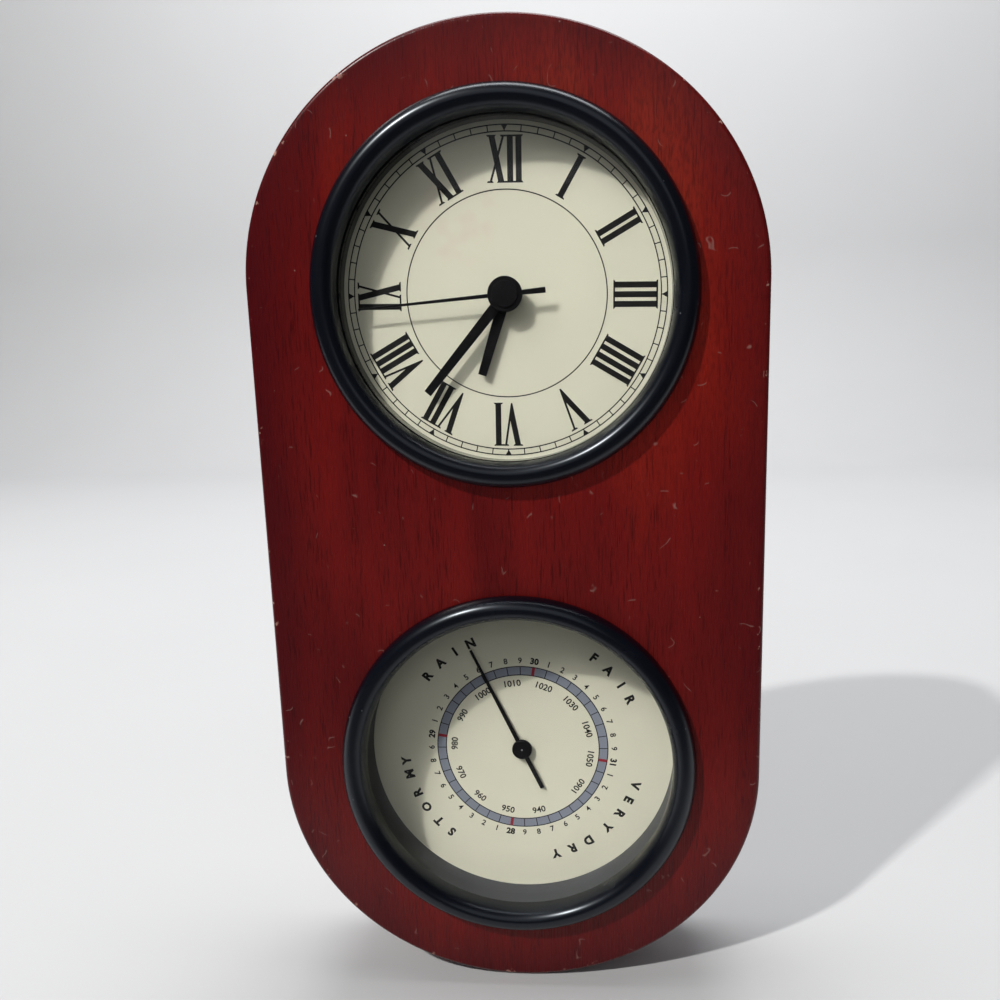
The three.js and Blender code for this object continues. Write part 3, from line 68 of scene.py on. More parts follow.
# Instruments
CLOCK, BAROMETER = (0, 73), (0, -73)
LENS, LENS_THICKNESS = 52, 1.5
SLEEVE_IN, SLEEVE_OUT, SLEEVE_PAST_DIAL = 52.3, 53.5, 6.6
FLANGE, CREST, PROUD, FLANGE_EDGE = 56.3, 52.4, 5, 0.35
LIP_DEPTH = -0.2
DIAL, DIAL_THICKNESS = 51.8, 0.6
CLOCK_DIAL_DEPTH, BARO_DIAL_DEPTH = 6.5, 13.5
CLOCK_CUP_BACK, BARO_CUP_BACK = 19.5, 30.5

# Quartz movement and its battery
CASE, CASE_FLANGE, CASE_WALL = 28, 33, 1.2
CASE_FRONT, CASE_BACK, COVER_BACK = 7.1, 21.3, 22.9
BUSH_HOLE, BUSH, BUSH_FRONT = 2.59, 3.49, 5.7
BAY_TOP = -12.0  # the battery bay's ceiling, from the clock's centre
POST, POST_HALF, POST_FRONT, POST_BACK = 31.02, 2, 8.3, 18.7  # the cup's posts, and how far out they stand
WINDOW, WINDOW_FRONT, WINDOW_BACK = 28.3, 5, 25
BATTERY_DEPTH, BATTERY_Z = 15.9, CLOCK[1] - 19.4
KNOB = (-16.1731, CLOCK[1] - 1.4146)

# Screws in the barometer's cup
BASE_SCREWS = {"left": (-21, -77), "right": (21, -77)}
CALIBRATION = (0, -100.5)
HEAD_THICKNESS = 1
BASE_HOLE, CALIBRATION_HOLE = 1.5, 1.8
DRILL_FRONT, DRILL_BACK = 26, 33

# Printing: how far it stands proud, and how far it goes into the card
INK, ROOT = 0.03, 0.02
DIAL_TURN = 0.9  # the clock's dial sits turned a little clockwise
FLOOR = -0.1476  # metres

collection = bpy.context.scene.collection


# Surfaces

def grid_faces(rows, columns, wrap_rows=False, wrap_columns=False):
    """Corner numbers of the four-sided faces between neighbours of a grid; a wrapped way joins its end to its
    start."""
    row, column = np.meshgrid(
        np.arange(rows if wrap_rows else rows - 1), np.arange(columns if wrap_columns else columns - 1), indexing="ij"
    )
    below, right = (row + 1) % rows, (column + 1) % columns
    corners = [row * columns + column, row * columns + right, below * columns + right, below * columns + column]
    return np.stack(corners, -1).reshape(-1, 4)


def at_depth(flat, depth):
    """Flat points (x, z) as (x, depth, z)."""
    deep = np.broadcast_to(depth, flat[..., :1].shape)
    return np.concatenate([flat[..., :1], deep, flat[..., 1:]], -1)


def weld(sheets, values=None):
    """Sheets as one skin: points that agree to a tenth of a micrometre become one, and a face keeps its different
    corners."""
    starts = np.cumsum([0] + [len(points) for points, _ in sheets[:-1]])
    points = np.concatenate([p for p, _ in sheets])
    _, first, welded = np.unique(np.round(points, 4), axis=0, return_index=True, return_inverse=True)
    welded = welded.reshape(-1)
    groups = []
    for (_, faces), start in zip(sheets, starts):
        corners = welded[faces + start]
        twice = corners == np.roll(corners, -1, axis=1)
        whole = corners[twice.sum(1) == 0]
        folded = corners[twice.sum(1) == 1]
        folded = folded[~twice[twice.sum(1) == 1]].reshape(len(folded), corners.shape[1] - 1)
        groups += [g for g in (whole, folded) if len(g) and g.shape[1] > 2]
    return points[first], groups, None if values is None else np.concatenate(values)[first]


def enclosed(points, groups):
    """Six times the volume inside: the sum of first corner . (next corner x corner after that) over each face's
    fan."""
    centred = points - points.mean(0)
    total = 0
    for group in groups:
        for k in range(1, group.shape[1] - 1):
            side = np.cross(centred[group[:, k]], centred[group[:, k + 1]])
            total += np.einsum("ij,ij->", centred[group[:, 0]], side)
    return total


def build(name, sheets, paint, crease=30, values=None):
    """A mesh object from sheets of points, its faces turned over if they enclose less than nothing."""
    points, groups, marks = weld(sheets, values)
    if enclosed(points, groups) < 0:
        groups = [g[:, ::-1] for g in groups]
    mesh = bpy.data.meshes.new(name)
    world = (points - [0, BOARD_THICKNESS, 0]) * MM
    mesh.from_pydata(world.tolist(), [], [face for g in groups for face in g.tolist()])
    if marks is not None:
        mesh.attributes.new("rim", "FLOAT", "POINT").data.foreach_set("value", marks.astype(np.float32))
    mesh.shade_smooth()
    mesh.set_sharp_from_angle(angle=math.radians(crease))
    mesh.materials.append(paint)
    made = bpy.data.objects.new(name, mesh)
    collection.objects.link(made)
    return made


def combine(how, body, solids):
    """Solids, one sheet each, joined to a body or taken out of it, with exact Booleans that are applied at once."""
    others = [build("solid", [solid], body.data.materials[0]) for solid in solids]
    for other in others:
        step = body.modifiers.new("combine", "BOOLEAN")
        step.operation, step.solver, step.object = how, "EXACT", other
    bpy.context.view_layer.update()
    seen = body.evaluated_get(bpy.context.evaluated_depsgraph_get())
    mesh = bpy.data.meshes.new_from_object(seen)
    mesh.name = body.data.name
    mesh.set_sharp_from_angle(angle=math.radians(35))
    body.modifiers.clear()
    body.data = mesh
    for other in others:
        bpy.data.objects.remove(other)


def piece(name, sheets, slot, *stands_for, body="station", paint=None, joined=(), cuts=(), **shaped):
    """A piece in its slot's finish or in another paint: it is built, joined by solids and cut by others, rides on
    its body, and stands for CAD nodes."""
    made = build(name, sheets, paint or finishes[slot], **shaped)
    if joined:
        combine("UNION", made, joined)
    if cuts:
        combine("DIFFERENCE", made, cuts)
    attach(made, body)
    if stands_for:
        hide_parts(*stands_for)


def eased(corners, radius, steps=4):
    """An outline with rounded corners: corner P becomes (1-s)^2 A + 2 s (1-s) P + s^2 B for s from 0 to 1,
    where A and B lie on its two sides, a radius away or at 43% of the side if that is nearer. One more point
    stands on each side, at 1.6 radii or 47%, so that a flat face meets its rounding without a bend."""
    p = np.asarray(corners, float)
    radius = np.broadcast_to(np.asarray(radius, float).reshape(-1, 1), (len(p), 1))

    def beside(neighbour, reach=1.0, share=0.43):
        way = neighbour - p
        length = np.maximum(np.linalg.norm(way, axis=1, keepdims=True), 1e-9)
        return p + way * np.minimum(reach * radius / length, share)

    before, after = beside(np.roll(p, 1, 0)), beside(np.roll(p, -1, 0))
    held = [beside(np.roll(p, way, 0), 1.6, 0.47)[:, None] for way in (1, -1)]
    s = np.linspace(0, 1, steps + 1)[None, :, None]
    curve = (1 - s) ** 2 * before[:, None] + 2 * s * (1 - s) * p[:, None] + s**2 * after[:, None]
    return np.concatenate([held[0], curve, held[1]], 1).reshape(-1, 2)


def turned(profile, centre=(0, 0), steps=ROUND):
    """Turned on a lathe: each (radius r, depth d) of the profile goes round as (x0 + r sin t, d, z0 + r cos t).
    A profile that starts on the axis ends there too, and any other closes on itself."""
    profile = np.asarray(profile, float)
    angle = np.linspace(0, 2 * np.pi, steps, endpoint=False)
    radius, depth = profile[:, :1], profile[:, 1:]
    x, z = centre[0] + radius * np.sin(angle), centre[1] + radius * np.cos(angle)
    points = np.stack([x, np.broadcast_to(depth, x.shape), z], -1).reshape(-1, 3)
    return points, grid_faces(len(profile), steps, wrap_rows=profile[0, 0] > 0, wrap_columns=True)


def disc(radius, front, back, centre=(0, 0), ease=0.1, steps=ROUND):
    """A turned disc: a rectangle from the axis out, its two outer corners rounded."""
    corners = [(0, front), (radius, front), (radius, back), (0, back)]
    return turned(eased(corners, [0, ease, ease, 0]), centre, steps)


def drill(centre, radius, front, back):
    """The solid of a round hole."""
    return disc(radius, front, back, centre, 0, SMALL_ROUND)


def hoop(inner, outer, front, back, centre=(0, 0), inner_back=None, ease=0.05, steps=ROUND):
    """A turned ring: a four-sided section with rounded corners."""
    corners = [(inner, front), (outer, front), (outer, back), (inner if inner_back is None else inner_back, back)]
    return turned(eased(corners, ease, steps=2), centre, steps)


def crossways(sheet, depth, z):
    """A turned sheet laid down: its axis runs along x, at a depth and height."""
    points, faces = sheet
    return np.stack([points[:, 1], depth + points[:, 0], z + points[:, 2]], -1), faces


def prism(outline, front, back, ease=0.0, steps=2):
    """A flat outline given thickness: rings of the outline, drawn in along its corner normals by ease (1 - sin u)
    while the depth runs ease (1 - cos u) from each face. One more ring lies on each face at 1.5 times ease, and
    the face is closed on its middle point."""
    outline = np.asarray(outline, float)
    side = np.roll(outline, -1, 0) - outline
    area = np.sum(outline[:, 0] * np.roll(outline[:, 1], -1) - np.roll(outline[:, 0], -1) * outline[:, 1])
    normal = np.stack([side[:, 1], -side[:, 0]], -1) * np.sign(area)
    normal /= np.maximum(np.linalg.norm(normal, axis=1, keepdims=True), 1e-9)
    corner = normal + np.roll(normal, 1, 0)
    corner /= np.maximum(np.sum(corner * corner, 1, keepdims=True) / 2, 0.3)
    u = np.linspace(0, np.pi / 2, steps + 1) if ease else np.array([0.0])
    inset = np.concatenate([[1.5 * ease], ease * (1 - np.sin(u))]) if ease else u
    depth = np.concatenate([[0.0], ease * (1 - np.cos(u))]) if ease else u
    insets = np.concatenate([inset, inset[::-1]])
    rings = outline[None] - insets[:, None, None] * corner[None]
    middle = np.broadcast_to(outline.mean(0), rings[:1].shape)
    rings = np.concatenate([middle, rings, middle])
    depths = np.concatenate([[front], front + depth, (back - depth)[::-1], [back]])
    points = at_depth(rings, depths[:, None, None]).reshape(-1, 3)
    return points, grid_faces(len(rings), len(outline), wrap_columns=True)


def block(low, high, ease=0.0):
    """A box with rounded edges along its depth: its face's outline with rounded corners, made a prism."""
    (x0, d0, z0), (x1, d1, z1) = low, high
    outline = eased([(x0, z0), (x1, z0), (x1, z1), (x0, z1)], max(ease, 0.001) * 1.5)
    return prism(outline, d0, d1, ease)


def tiles(quads, front, back):
    """Many small four-cornered prisms at once: each quad's corners at the front and again at the back,
    all wound the same way round, with two faces and four sides."""
    quads = np.asarray(quads, float)
    x, z = quads[..., 0], quads[..., 1]
    area = np.sum(x * np.roll(z, -1, 1) - np.roll(x, -1, 1) * z, 1)
    quads = np.where((area < 0)[:, None, None], quads[:, ::-1], quads)
    points = np.concatenate([at_depth(quads, depth) for depth in (front, back)], 1).reshape(-1, 3)
    pattern = [(0, 1, 2, 3), (7, 6, 5, 4), (1, 0, 4, 5), (2, 1, 5, 6), (3, 2, 6, 7), (0, 3, 7, 4)]
    faces = np.array(pattern)[None] + 8 * np.arange(len(quads))[:, None, None]
    return points, faces.reshape(-1, 4)


def on_dial(points, centre, angle):
    """Points (u, r) of a mark, u to its right and r outwards, at an angle a: centre + r (sin a, cos a)
    + u (cos a, -sin a)."""
    points = np.asarray(points, float)
    a = np.radians(angle)
    u, r = points[..., 0], points[..., 1]
    return np.stack([centre[0] + r * np.sin(a) + u * np.cos(a), centre[1] + r * np.cos(a) - u * np.sin(a)], -1)


def marks_round(centre, angles, start, end, front, back):
    """The same four-cornered mark at many angles; its start and end are each (half width, radius)."""
    (wide, low), (narrow, high) = start, end
    mark = np.array([(-wide, low), (wide, low), (narrow, high), (-narrow, high)])
    return tiles(on_dial(np.repeat(mark[None], len(angles), 0), centre, np.array(angles)[:, None]), front, back)


# Node tools: each works in the tree that its sockets belong to

def node(tree, kind, inputs=None, **settings):
    """A node with its settings and inputs; an input is a value or another node's output."""
    made = tree.nodes.new(kind)
    for key, value in settings.items():
        setattr(made, key, value)
    for key, value in (inputs or {}).items():
        if isinstance(value, bpy.types.NodeSocket):
            tree.links.new(value, made.inputs[key])
        else:
            made.inputs[key].default_value = value
    return made


def among(kind, inputs, **settings):
    """A node in the tree of the first socket among its inputs."""
    tree = next(value.id_data for value in inputs.values() if isinstance(value, bpy.types.NodeSocket))
    return node(tree, kind, inputs, **settings)


def sums(operation, *values):
    """A sum of one or two values."""
    return among("ShaderNodeMath", dict(enumerate(values)), operation=operation).outputs[0]


def times(first, second):
    return sums("MULTIPLY", first, second)


def plus(first, second):
    return sums("ADD", first, second)


def vectors(operation, inputs, output=0):
    return among("ShaderNodeVectorMath", inputs, operation=operation).outputs[output]


def ramp(value, stops):
    """A colour ramp through stops of (place, colour)."""
    made = among("ShaderNodeValToRGB", {0: value})
    elements = made.color_ramp.elements
    while len(elements) < len(stops):
        elements.new(0.5)
    for element, (place, colour) in zip(elements, stops):
        element.position = place
        element.color = (*colour, 1)
    return made.outputs["Color"]


def mix(factor, first, second, blend="MIX"):
    """One colour mixed into another; the second is plain if it is given by its three parts."""
    second = (*second, 1) if isinstance(second, tuple) else second
    inputs = {0: factor, 6: first, 7: second}
    return among("ShaderNodeMix", inputs, data_type="RGBA", blend_type=blend).outputs[2]


def spread(value, low, high, to_low=0.0, to_high=1.0):
    """A value between low and high stretched to another span, and held at its ends."""
    return among("ShaderNodeMapRange", {0: value, 1: low, 2: high, 3: to_low, 4: to_high}).outputs[0]


def object_place(tree):
    """Object coordinates, which are metres in the part's frame."""
    return node(tree, "ShaderNodeTexCoord").outputs["Object"]


def noise(place, scale, detail):
    return among("ShaderNodeTexNoise", {"Vector": place, "Scale": scale, "Detail": detail}).outputs[0]


def group(name, inputs, *outputs):
    """An empty node group with named sockets, its inputs and its output node. A colour has four parts."""
    tree = bpy.data.node_groups.new(name, "ShaderNodeTree")
    for label, value in inputs.items():
        kind = "NodeSocketColor" if isinstance(value, tuple) else "NodeSocketFloat"
        tree.interface.new_socket(label, in_out="INPUT", socket_type=kind).default_value = value
    for label in outputs:
        kind = "NodeSocketColor" if label == "Color" else "NodeSocketFloat"
        tree.interface.new_socket(label, in_out="OUTPUT", socket_type=kind)
    return tree, tree.nodes.new("NodeGroupInput").outputs, tree.nodes.new("NodeGroupOutput")


def make_streaks():
    """Long streaks: noise on Object coordinates, squeezed by Across in x and depth and by Along in z."""
    tree, given, out = group("streaks", {"Across": 500, "Along": 20, "Detail": 3, "Low": 0.35, "High": 0.65}, "Value")
    place = object_place(tree)
    squeeze = node(tree, "ShaderNodeCombineXYZ", {0: given["Across"], 1: given["Across"], 2: given["Along"]})
    scaled = vectors("MULTIPLY", {0: place, 1: squeeze.outputs[0]})
    lines = noise(scaled, 1.0, given["Detail"])
    tree.links.new(spread(lines, given["Low"], given["High"]), out.inputs["Value"])
    return tree


def make_uneven():
    """A finish that is never quite even: cloudy shade over the colour, cloudy roughness and a fine relief."""
    tree, given, out = group(
        "uneven_finish",
        {"Color": (0.5, 0.5, 0.5, 1), "Shade": 0.15, "Cloud": 60, "Roughness": 0.4, "Variation": 0.1, "Grain": 1500},
        "Color", "Roughness", "Height",
    )
    place = object_place(tree)
    away = sums("SUBTRACT", noise(place, given["Cloud"], 4.0), 0.5)
    shade = plus(times(times(away, 2.0), given["Shade"]), 1.0)
    tree.links.new(vectors("SCALE", {0: given["Color"], "Scale": shade}), out.inputs["Color"])
    tree.links.new(plus(given["Roughness"], times(away, given["Variation"])), out.inputs["Roughness"])
    tree.links.new(noise(place, given["Grain"], 2.0), out.inputs["Height"])
    return tree


def make_specks():
    """Dust: small cells of a Voronoi pattern whose centre is near and whose own random number is low."""
    tree, given, out = group("dust_specks", {"Scale": 300, "Size": 0.12, "Share": 0.1}, "Mask")
    cells = node(tree, "ShaderNodeTexVoronoi", {"Vector": object_place(tree), "Scale": given["Scale"]})
    near = sums("LESS_THAN", cells.outputs["Distance"], given["Size"])
    chance = among("ShaderNodeSeparateColor", {0: cells.outputs["Color"]}).outputs[0]
    tree.links.new(times(near, sums("LESS_THAN", chance, given["Share"])), out.inputs["Mask"])
    return tree


streaks, uneven, specks = make_streaks(), make_uneven(), make_specks()


def use(tree, which, **inputs):
    """A shared group placed in a material with its own values: its outputs."""
    return node(tree, "ShaderNodeGroup", inputs, node_tree=which).outputs


def streaked(tree, across, along, detail, low, high):
    return use(tree, streaks, Across=across, Along=along, Detail=detail, Low=low, High=high)[0]


def clouded(tree, colour, shade, cloud, roughness, variation, grain):
    """The uneven finish's colour, roughness and height."""
    return use(tree, uneven, Color=(*colour, 1), Shade=shade, Cloud=cloud, Roughness=roughness,
               Variation=variation, Grain=grain)


def material(name, **plain):
    """A new material, its tree and its Principled shader, with plain values by socket name."""
    made = bpy.data.materials.new(name)
    made.use_nodes = True
    tree = made.node_tree
    shader = principled(tree)
    for key, value in plain.items():
        shader.inputs[key.replace("_", " ")].default_value = value
    return made, tree, shader


def principled(tree):
    """The Principled shader of a tree."""
    return next(n for n in tree.nodes if n.type == "BSDF_PRINCIPLED")


def dress(shader, colour, roughness, height=None, strength=0.0, distance=0.0):
    """A colour, a roughness and the relief of a height led into a shader."""
    links = shader.id_data.links
    links.new(colour, shader.inputs["Base Color"])
    links.new(roughness, shader.inputs["Roughness"])
    if height is not None:
        bump = among("ShaderNodeBump", {"Height": height, "Strength": strength, "Distance": distance})
        links.new(bump.outputs[0], shader.inputs["Normal"])


# Finishes

def finish(name, colour, roughness, shade=0.12, cloud=80, variation=0.12, grain=2500, strength=0.15,
           distance=0.00003, dust=0.0, **plain):
    """An uneven finish on the shared groups, with dust specks over it where there are any."""
    made, tree, shader = material(name, **plain)
    shown, rough, height = clouded(tree, colour, shade, cloud, roughness, variation, grain)
    if dust:
        mask = use(tree, specks, Scale=420.0, Size=0.1, Share=dust)[0]
        shown = mix(times(mask, 0.5), shown, (0.22, 0.22, 0.23))
        rough = plus(rough, times(mask, 0.4))
    dress(shader, shown, rough, height, strength, distance)
    return made


def brushed(name, colour, roughness, across=3000.0, along=60.0, shade=0.25):
    """Metal with fine streaks along z: they shade the colour, change the roughness and give a little relief."""
    made, tree, shader = material(name, Metallic=1.0)
    lines = streaked(tree, across, along, 4.0, 0.3, 0.7)
    shown, rough, _ = clouded(tree, colour, 0.12, 90.0, roughness, 0.15, 2000.0)
    darker = mix(shade, shown, (0.05, 0.05, 0.05), "MULTIPLY")
    dress(shader, mix(lines, darker, shown), plus(rough, times(lines, 0.12)), lines, 0.3, 0.00001)
    return made


def towards_outline(place):
    """How far out on the board a place is, in metres: the length of (x, 0, (|z| - 75.5) 76 / 72) in millimetres,
    with no less than 0 for the last part, comes up to 76 near the outline."""
    apart = among("ShaderNodeSeparateXYZ", {0: place}).outputs
    beyond = sums("MAXIMUM", sums("SUBTRACT", sums("ABSOLUTE", apart[2]), (BOARD_TOP - END_RISE) * MM), 0.0)
    flat = among("ShaderNodeCombineXYZ", {0: apart[0], 2: times(beyond, END_STRETCH)})
    return vectors("LENGTH", {0: flat.outputs[0]}, "Value")


def fine_scratches(place):
    """Short pale hairs: where a noise is within 0.014 of its middle, a thin winding line, kept only in the few
    patches where a finer noise is over 0.71."""
    away = sums("ABSOLUTE", sums("SUBTRACT", noise(place, 130.0, 1.0), 0.5))
    patches = noise(place, 240.0, 0.0)
    return times(spread(away, 0.0, 0.014, 1.0, 0.0), spread(patches, 0.71, 0.76, 0.0, 0.34))


def stained_wood():
    """Cherry stain over an open-pored wood whose grain runs along z: a blotchy figure, a tone that grows lighter and
    warmer towards a point at the upper right, fibres, short dark pores and flecks, a deeper tone towards the outline,
    dust and fine scratches, paler knocks where the rim attribute says edge, and a thin satin lacquer."""
    made, tree, shader = material("cherry_stained_wood", Specular_IOR_Level=0.20)
    place = object_place(tree)
    figure = streaked(tree, 34.0, 9.0, 4.0, 0.3, 0.7)
    bands = streaked(tree, 210.0, 7.0, 4.0, 0.3, 0.72)
    fibres = streaked(tree, 1900.0, 70.0, 3.0, 0.32, 0.68)
    pores = streaked(tree, 2700.0, 165.0, 1.0, 0.55, 0.68)
    flecks = streaked(tree, 1100.0, 420.0, 2.0, 0.48, 0.70)
    # a lighter, warmer tone within 110 mm of a point at the upper right of the board, added to the figure
    warm = vectors("DISTANCE", {0: place, 1: (0.044, 0.0, 0.112)}, "Value")
    tone = plus(times(figure, 0.55), spread(warm, 0.110, 0.012, 0.0, 0.60))
    stain = ramp(tone, [(0.0, (0.108, 0.0036, 0.0046)), (0.35, (0.178, 0.0066, 0.0050)),
                        (0.7, (0.262, 0.0130, 0.0062)), (1.0, (0.385, 0.0330, 0.0108))])
    banded = mix(times(bands, 0.18), stain, (0.085, 0.0035, 0.0055))
    fibred = mix(times(fibres, 0.20), banded, (0.065, 0.0032, 0.0045))
    clustered = sums("MAXIMUM", times(pores, spread(bands, 0.15, 0.75, 0.20, 0.62)),
                     times(flecks, spread(tone, 0.35, 0.95, 0.12, 0.55)))
    pored = mix(clustered, fibred, (0.038, 0.0014, 0.0016))
    deeper = mix(spread(towards_outline(place), 0.056, 0.076, 0.0, 0.62), pored, (0.040, 0.0022, 0.0052))
    dust = times(use(tree, specks, Scale=230.0, Size=0.05, Share=0.08)[0], 0.45)
    dusty = mix(sums("MAXIMUM", dust, fine_scratches(place)), deeper, (0.42, 0.28, 0.24))
    rim = node(tree, "ShaderNodeAttribute", attribute_name="rim", attribute_type="GEOMETRY").outputs["Fac"]
    worn = times(rim, spread(noise(place, 420.0, 3.0), 0.67, 0.71))
    rough = plus(plus(0.25, times(fibres, 0.05)), times(worn, 0.3))
    height = sums("SUBTRACT", times(fibres, 0.25), pores)
    dress(shader, mix(worn, dusty, (0.46, 0.24, 0.19)), rough, height, 0.25, 0.00005)
    return made


def lens_glass():
    """Clear glass that lets lamps shine through to the dial: a shadow ray sees almost nothing of it."""
    made, tree, shader = material("clear_glass", Transmission_Weight=1.0, IOR=1.22, Metallic=0.0)
    shown, rough, _ = clouded(tree, (0.985, 0.99, 0.985), 0.008, 40.0, 0.0, 0.01, 900.0)
    dress(shader, shown, spread(rough, 0.0, 1.0))
    shadow = node(tree, "ShaderNodeLightPath").outputs["Is Shadow Ray"]
    tree.links.new(spread(shadow, 0.0, 1.0, 1.0, 0.06), shader.inputs["Alpha"])
    return made


def dial_card():
    """Cream painted card: a faint mottle, fine tooth and the trace of a pinkish stain on the clock's dial."""
    made, tree, shader = material("cream_dial", Specular_IOR_Level=0.35)
    shown, rough, height = clouded(tree, (0.700, 0.682, 0.540), 0.03, 45.0, 0.55, 0.08, 3500.0)
    place = object_place(tree)
    spot = node(tree, "ShaderNodeMapping", {"Vector": place, "Location": (0.015, 0.0, -0.094)})
    far = vectors("LENGTH", {0: spot.outputs[0]}, "Value")
    stain = times(spread(far, 0.0300, 0.0260), spread(noise(place, 160.0, 4.0), 0.45, 0.7, 0.0, 0.45))
    dress(shader, mix(stain, shown, (0.66, 0.50, 0.42)), rough, height, 0.06, 0.00002)
    return made


finishes = {
    "stained_wood": stained_wood(),
    "lens_glass": lens_glass(),
    "dial_card": dial_card(),
    "black_bezel": finish("blue_black_paint", (0.0018, 0.0025, 0.0062), 0.26, shade=0.2, variation=0.08, dust=0.05,
                          strength=0.02, Specular_IOR_Level=0.5, Specular_Tint=(0.86, 0.93, 1.0, 1)),
    "gloss_ring": finish("polished_black", (0.007, 0.007, 0.010), 0.14, variation=0.05, dust=0.03, strength=0.01),
    "satin_ring": finish("satin_grey_black", (0.038, 0.040, 0.044), 0.45, dust=0.02, strength=0.03,
                         Specular_IOR_Level=0.3),
    "black_hand": finish("black_painted_hands", (0.0038, 0.0034, 0.0042), 0.42, shade=0.05, strength=0.01,
                         Specular_IOR_Level=0.14),
    "black_plastic": finish("moulded_black_plastic", (0.018, 0.018, 0.020), 0.46, dust=0.04, grain=1400,
                            strength=0.35),
    "nylon": finish("moulded_nylon", (0.74, 0.72, 0.64), 0.42, shade=0.06, Subsurface_Weight=0.05),
    "rubber": finish("matt_rubber", (0.014, 0.014, 0.014), 0.75, grain=1800, strength=0.5, distance=0.0001),
    "steel": brushed("brushed_steel", (0.56, 0.57, 0.58), 0.32),
    "brass": brushed("milled_brass", (0.78, 0.56, 0.23), 0.28, across=2200.0),
    "capsule_metal": brushed("rolled_nickel_silver", (0.70, 0.62, 0.44), 0.24, across=1600.0, shade=0.12),
    "copper_wire": brushed("enamelled_copper", (0.72, 0.27, 0.10), 0.3, across=5200.0, along=5200.0),
    "circuit_green": finish("green_solder_mask", (0.018, 0.115, 0.045), 0.3, shade=0.25, cloud=220, strength=0.2),
    "battery_sleeve": finish("battery_sleeve", (0.045, 0.050, 0.058), 0.34, shade=0.1, Coat_Weight=0.3),
}
ink_black = finish("printing_black", (0.0095, 0.0090, 0.0090), 0.6, strength=0.01, Specular_IOR_Level=0.15)
ink_grey = finish("printing_grey", (0.215, 0.235, 0.285), 0.6, shade=0.05, strength=0.01, Specular_IOR_Level=0.2)
ink_red = finish("printing_red", (0.270, 0.018, 0.030), 0.6, shade=0.06, strength=0.01, Specular_IOR_Level=0.2)

for subpart in frame["record"]["subparts"]:
    for held in frame["nodes"][subpart["node"]].material_slots:
        held.material = finishes[subpart["material_slot"]]


# Board

def half_outline(inset):
    """The upper half of the board's edge from right to left, moved in along its normals: straight sides at
    x = +-76, and an end (76 cos t, 75.5 + 72 sin t) whose normal is (cos t / 76, sin t / 72) made one long."""
    straight = BOARD_TOP - END_RISE
    rise = np.linspace(0, straight, 25)[:-1]
    t = np.linspace(0, np.pi, 145)
    across = np.stack([np.cos(t) / BOARD_HALF, np.sin(t) / END_RISE], -1)
    across /= np.linalg.norm(across, axis=1, keepdims=True)
    end = np.stack([BOARD_HALF * np.cos(t), straight + END_RISE * np.sin(t)], -1) - inset * across
    side = BOARD_HALF - inset
    right = np.stack([np.full(rise.shape, side), rise], -1)
    left = np.stack([np.full(rise.shape, -side), rise[::-1]], -1)
    return np.concatenate([right, end, left])


def half_board():
    """The upper half of the board and how near each point is to an edge: front and back are ruled from the bore's
    circle to the edge and the middle line, and the rounded edge and the bore's wall join them."""
    edge_count = len(half_outline(0))

    def ruled(inset, depth, rim):
        edge = half_outline(inset)
        outer = np.concatenate([edge, np.linspace(edge[-1], edge[0], 72)[1:-1]])
        way = outer - CLOCK
        bore = CLOCK + BORE * way / np.linalg.norm(way, axis=1, keepdims=True)
        shares = [0, 0.8 / np.linalg.norm(bore - outer, axis=1, keepdims=True), 0.35, 0.7, 1.0]
        points = at_depth(np.stack([outer + (bore - outer) * s for s in shares]), depth)
        near = np.zeros(points.shape[:2])
        near[0, :edge_count] = rim
        return points, near

    front, front_rim = ruled(FRONT_EDGE, 0, 0.6)
    back, back_rim = ruled(BACK_EDGE, BOARD_THICKNESS, 1.0)
    u = np.linspace(0, np.pi / 2, 7)
    insets = np.concatenate([FRONT_EDGE * (1 - np.sin(u)), [0, 0, 0, 0, 0, BACK_EDGE]])
    down = [2.6, 8, 16, 24, BOARD_THICKNESS - BACK_EDGE, BOARD_THICKNESS]
    depths = np.concatenate([FRONT_EDGE * (1 - np.cos(u)), down])
    rims = np.array([0.6, 0.8, 1, 1, 1, 0.8, 0.6, 0, 0, 0, 0, 0.7, 1.0])  # one for each row, from front to back
    edge = at_depth(np.stack([half_outline(inset) for inset in insets]), depths[:, None, None])
    wall = np.stack([front[-1], back[-1]])
    sheets = [
        (front.reshape(-1, 3), grid_faces(*front.shape[:2], wrap_columns=True)),
        (edge.reshape(-1, 3), grid_faces(*edge.shape[:2])[:, ::-1]),
        (back.reshape(-1, 3), grid_faces(*back.shape[:2], wrap_columns=True)[:, ::-1]),
        (wall.reshape(-1, 3), grid_faces(*wall.shape[:2], wrap_columns=True)),
    ]
    marks = [front_rim.ravel(), np.repeat(rims, edge_count), back_rim.ravel(), np.zeros(2 * wall.shape[1])]
    return sheets, marks


upper, marks = half_board()
lower = [(points * [1, 1, -1], faces[:, ::-1]) for points, faces in upper]
rebate = block((-REBATE[0], HANGER_FRONT, HANGER_Z - REBATE[1]),
               (REBATE[0], BOARD_THICKNESS + 2, HANGER_Z + REBATE[1]))
piece("board_of_stained_wood", upper + lower, "stained_wood", "wood_board", cuts=[rebate, block(*POCKET)],
      crease=40, values=marks + marks)


# Bezels, glass, rings, dials

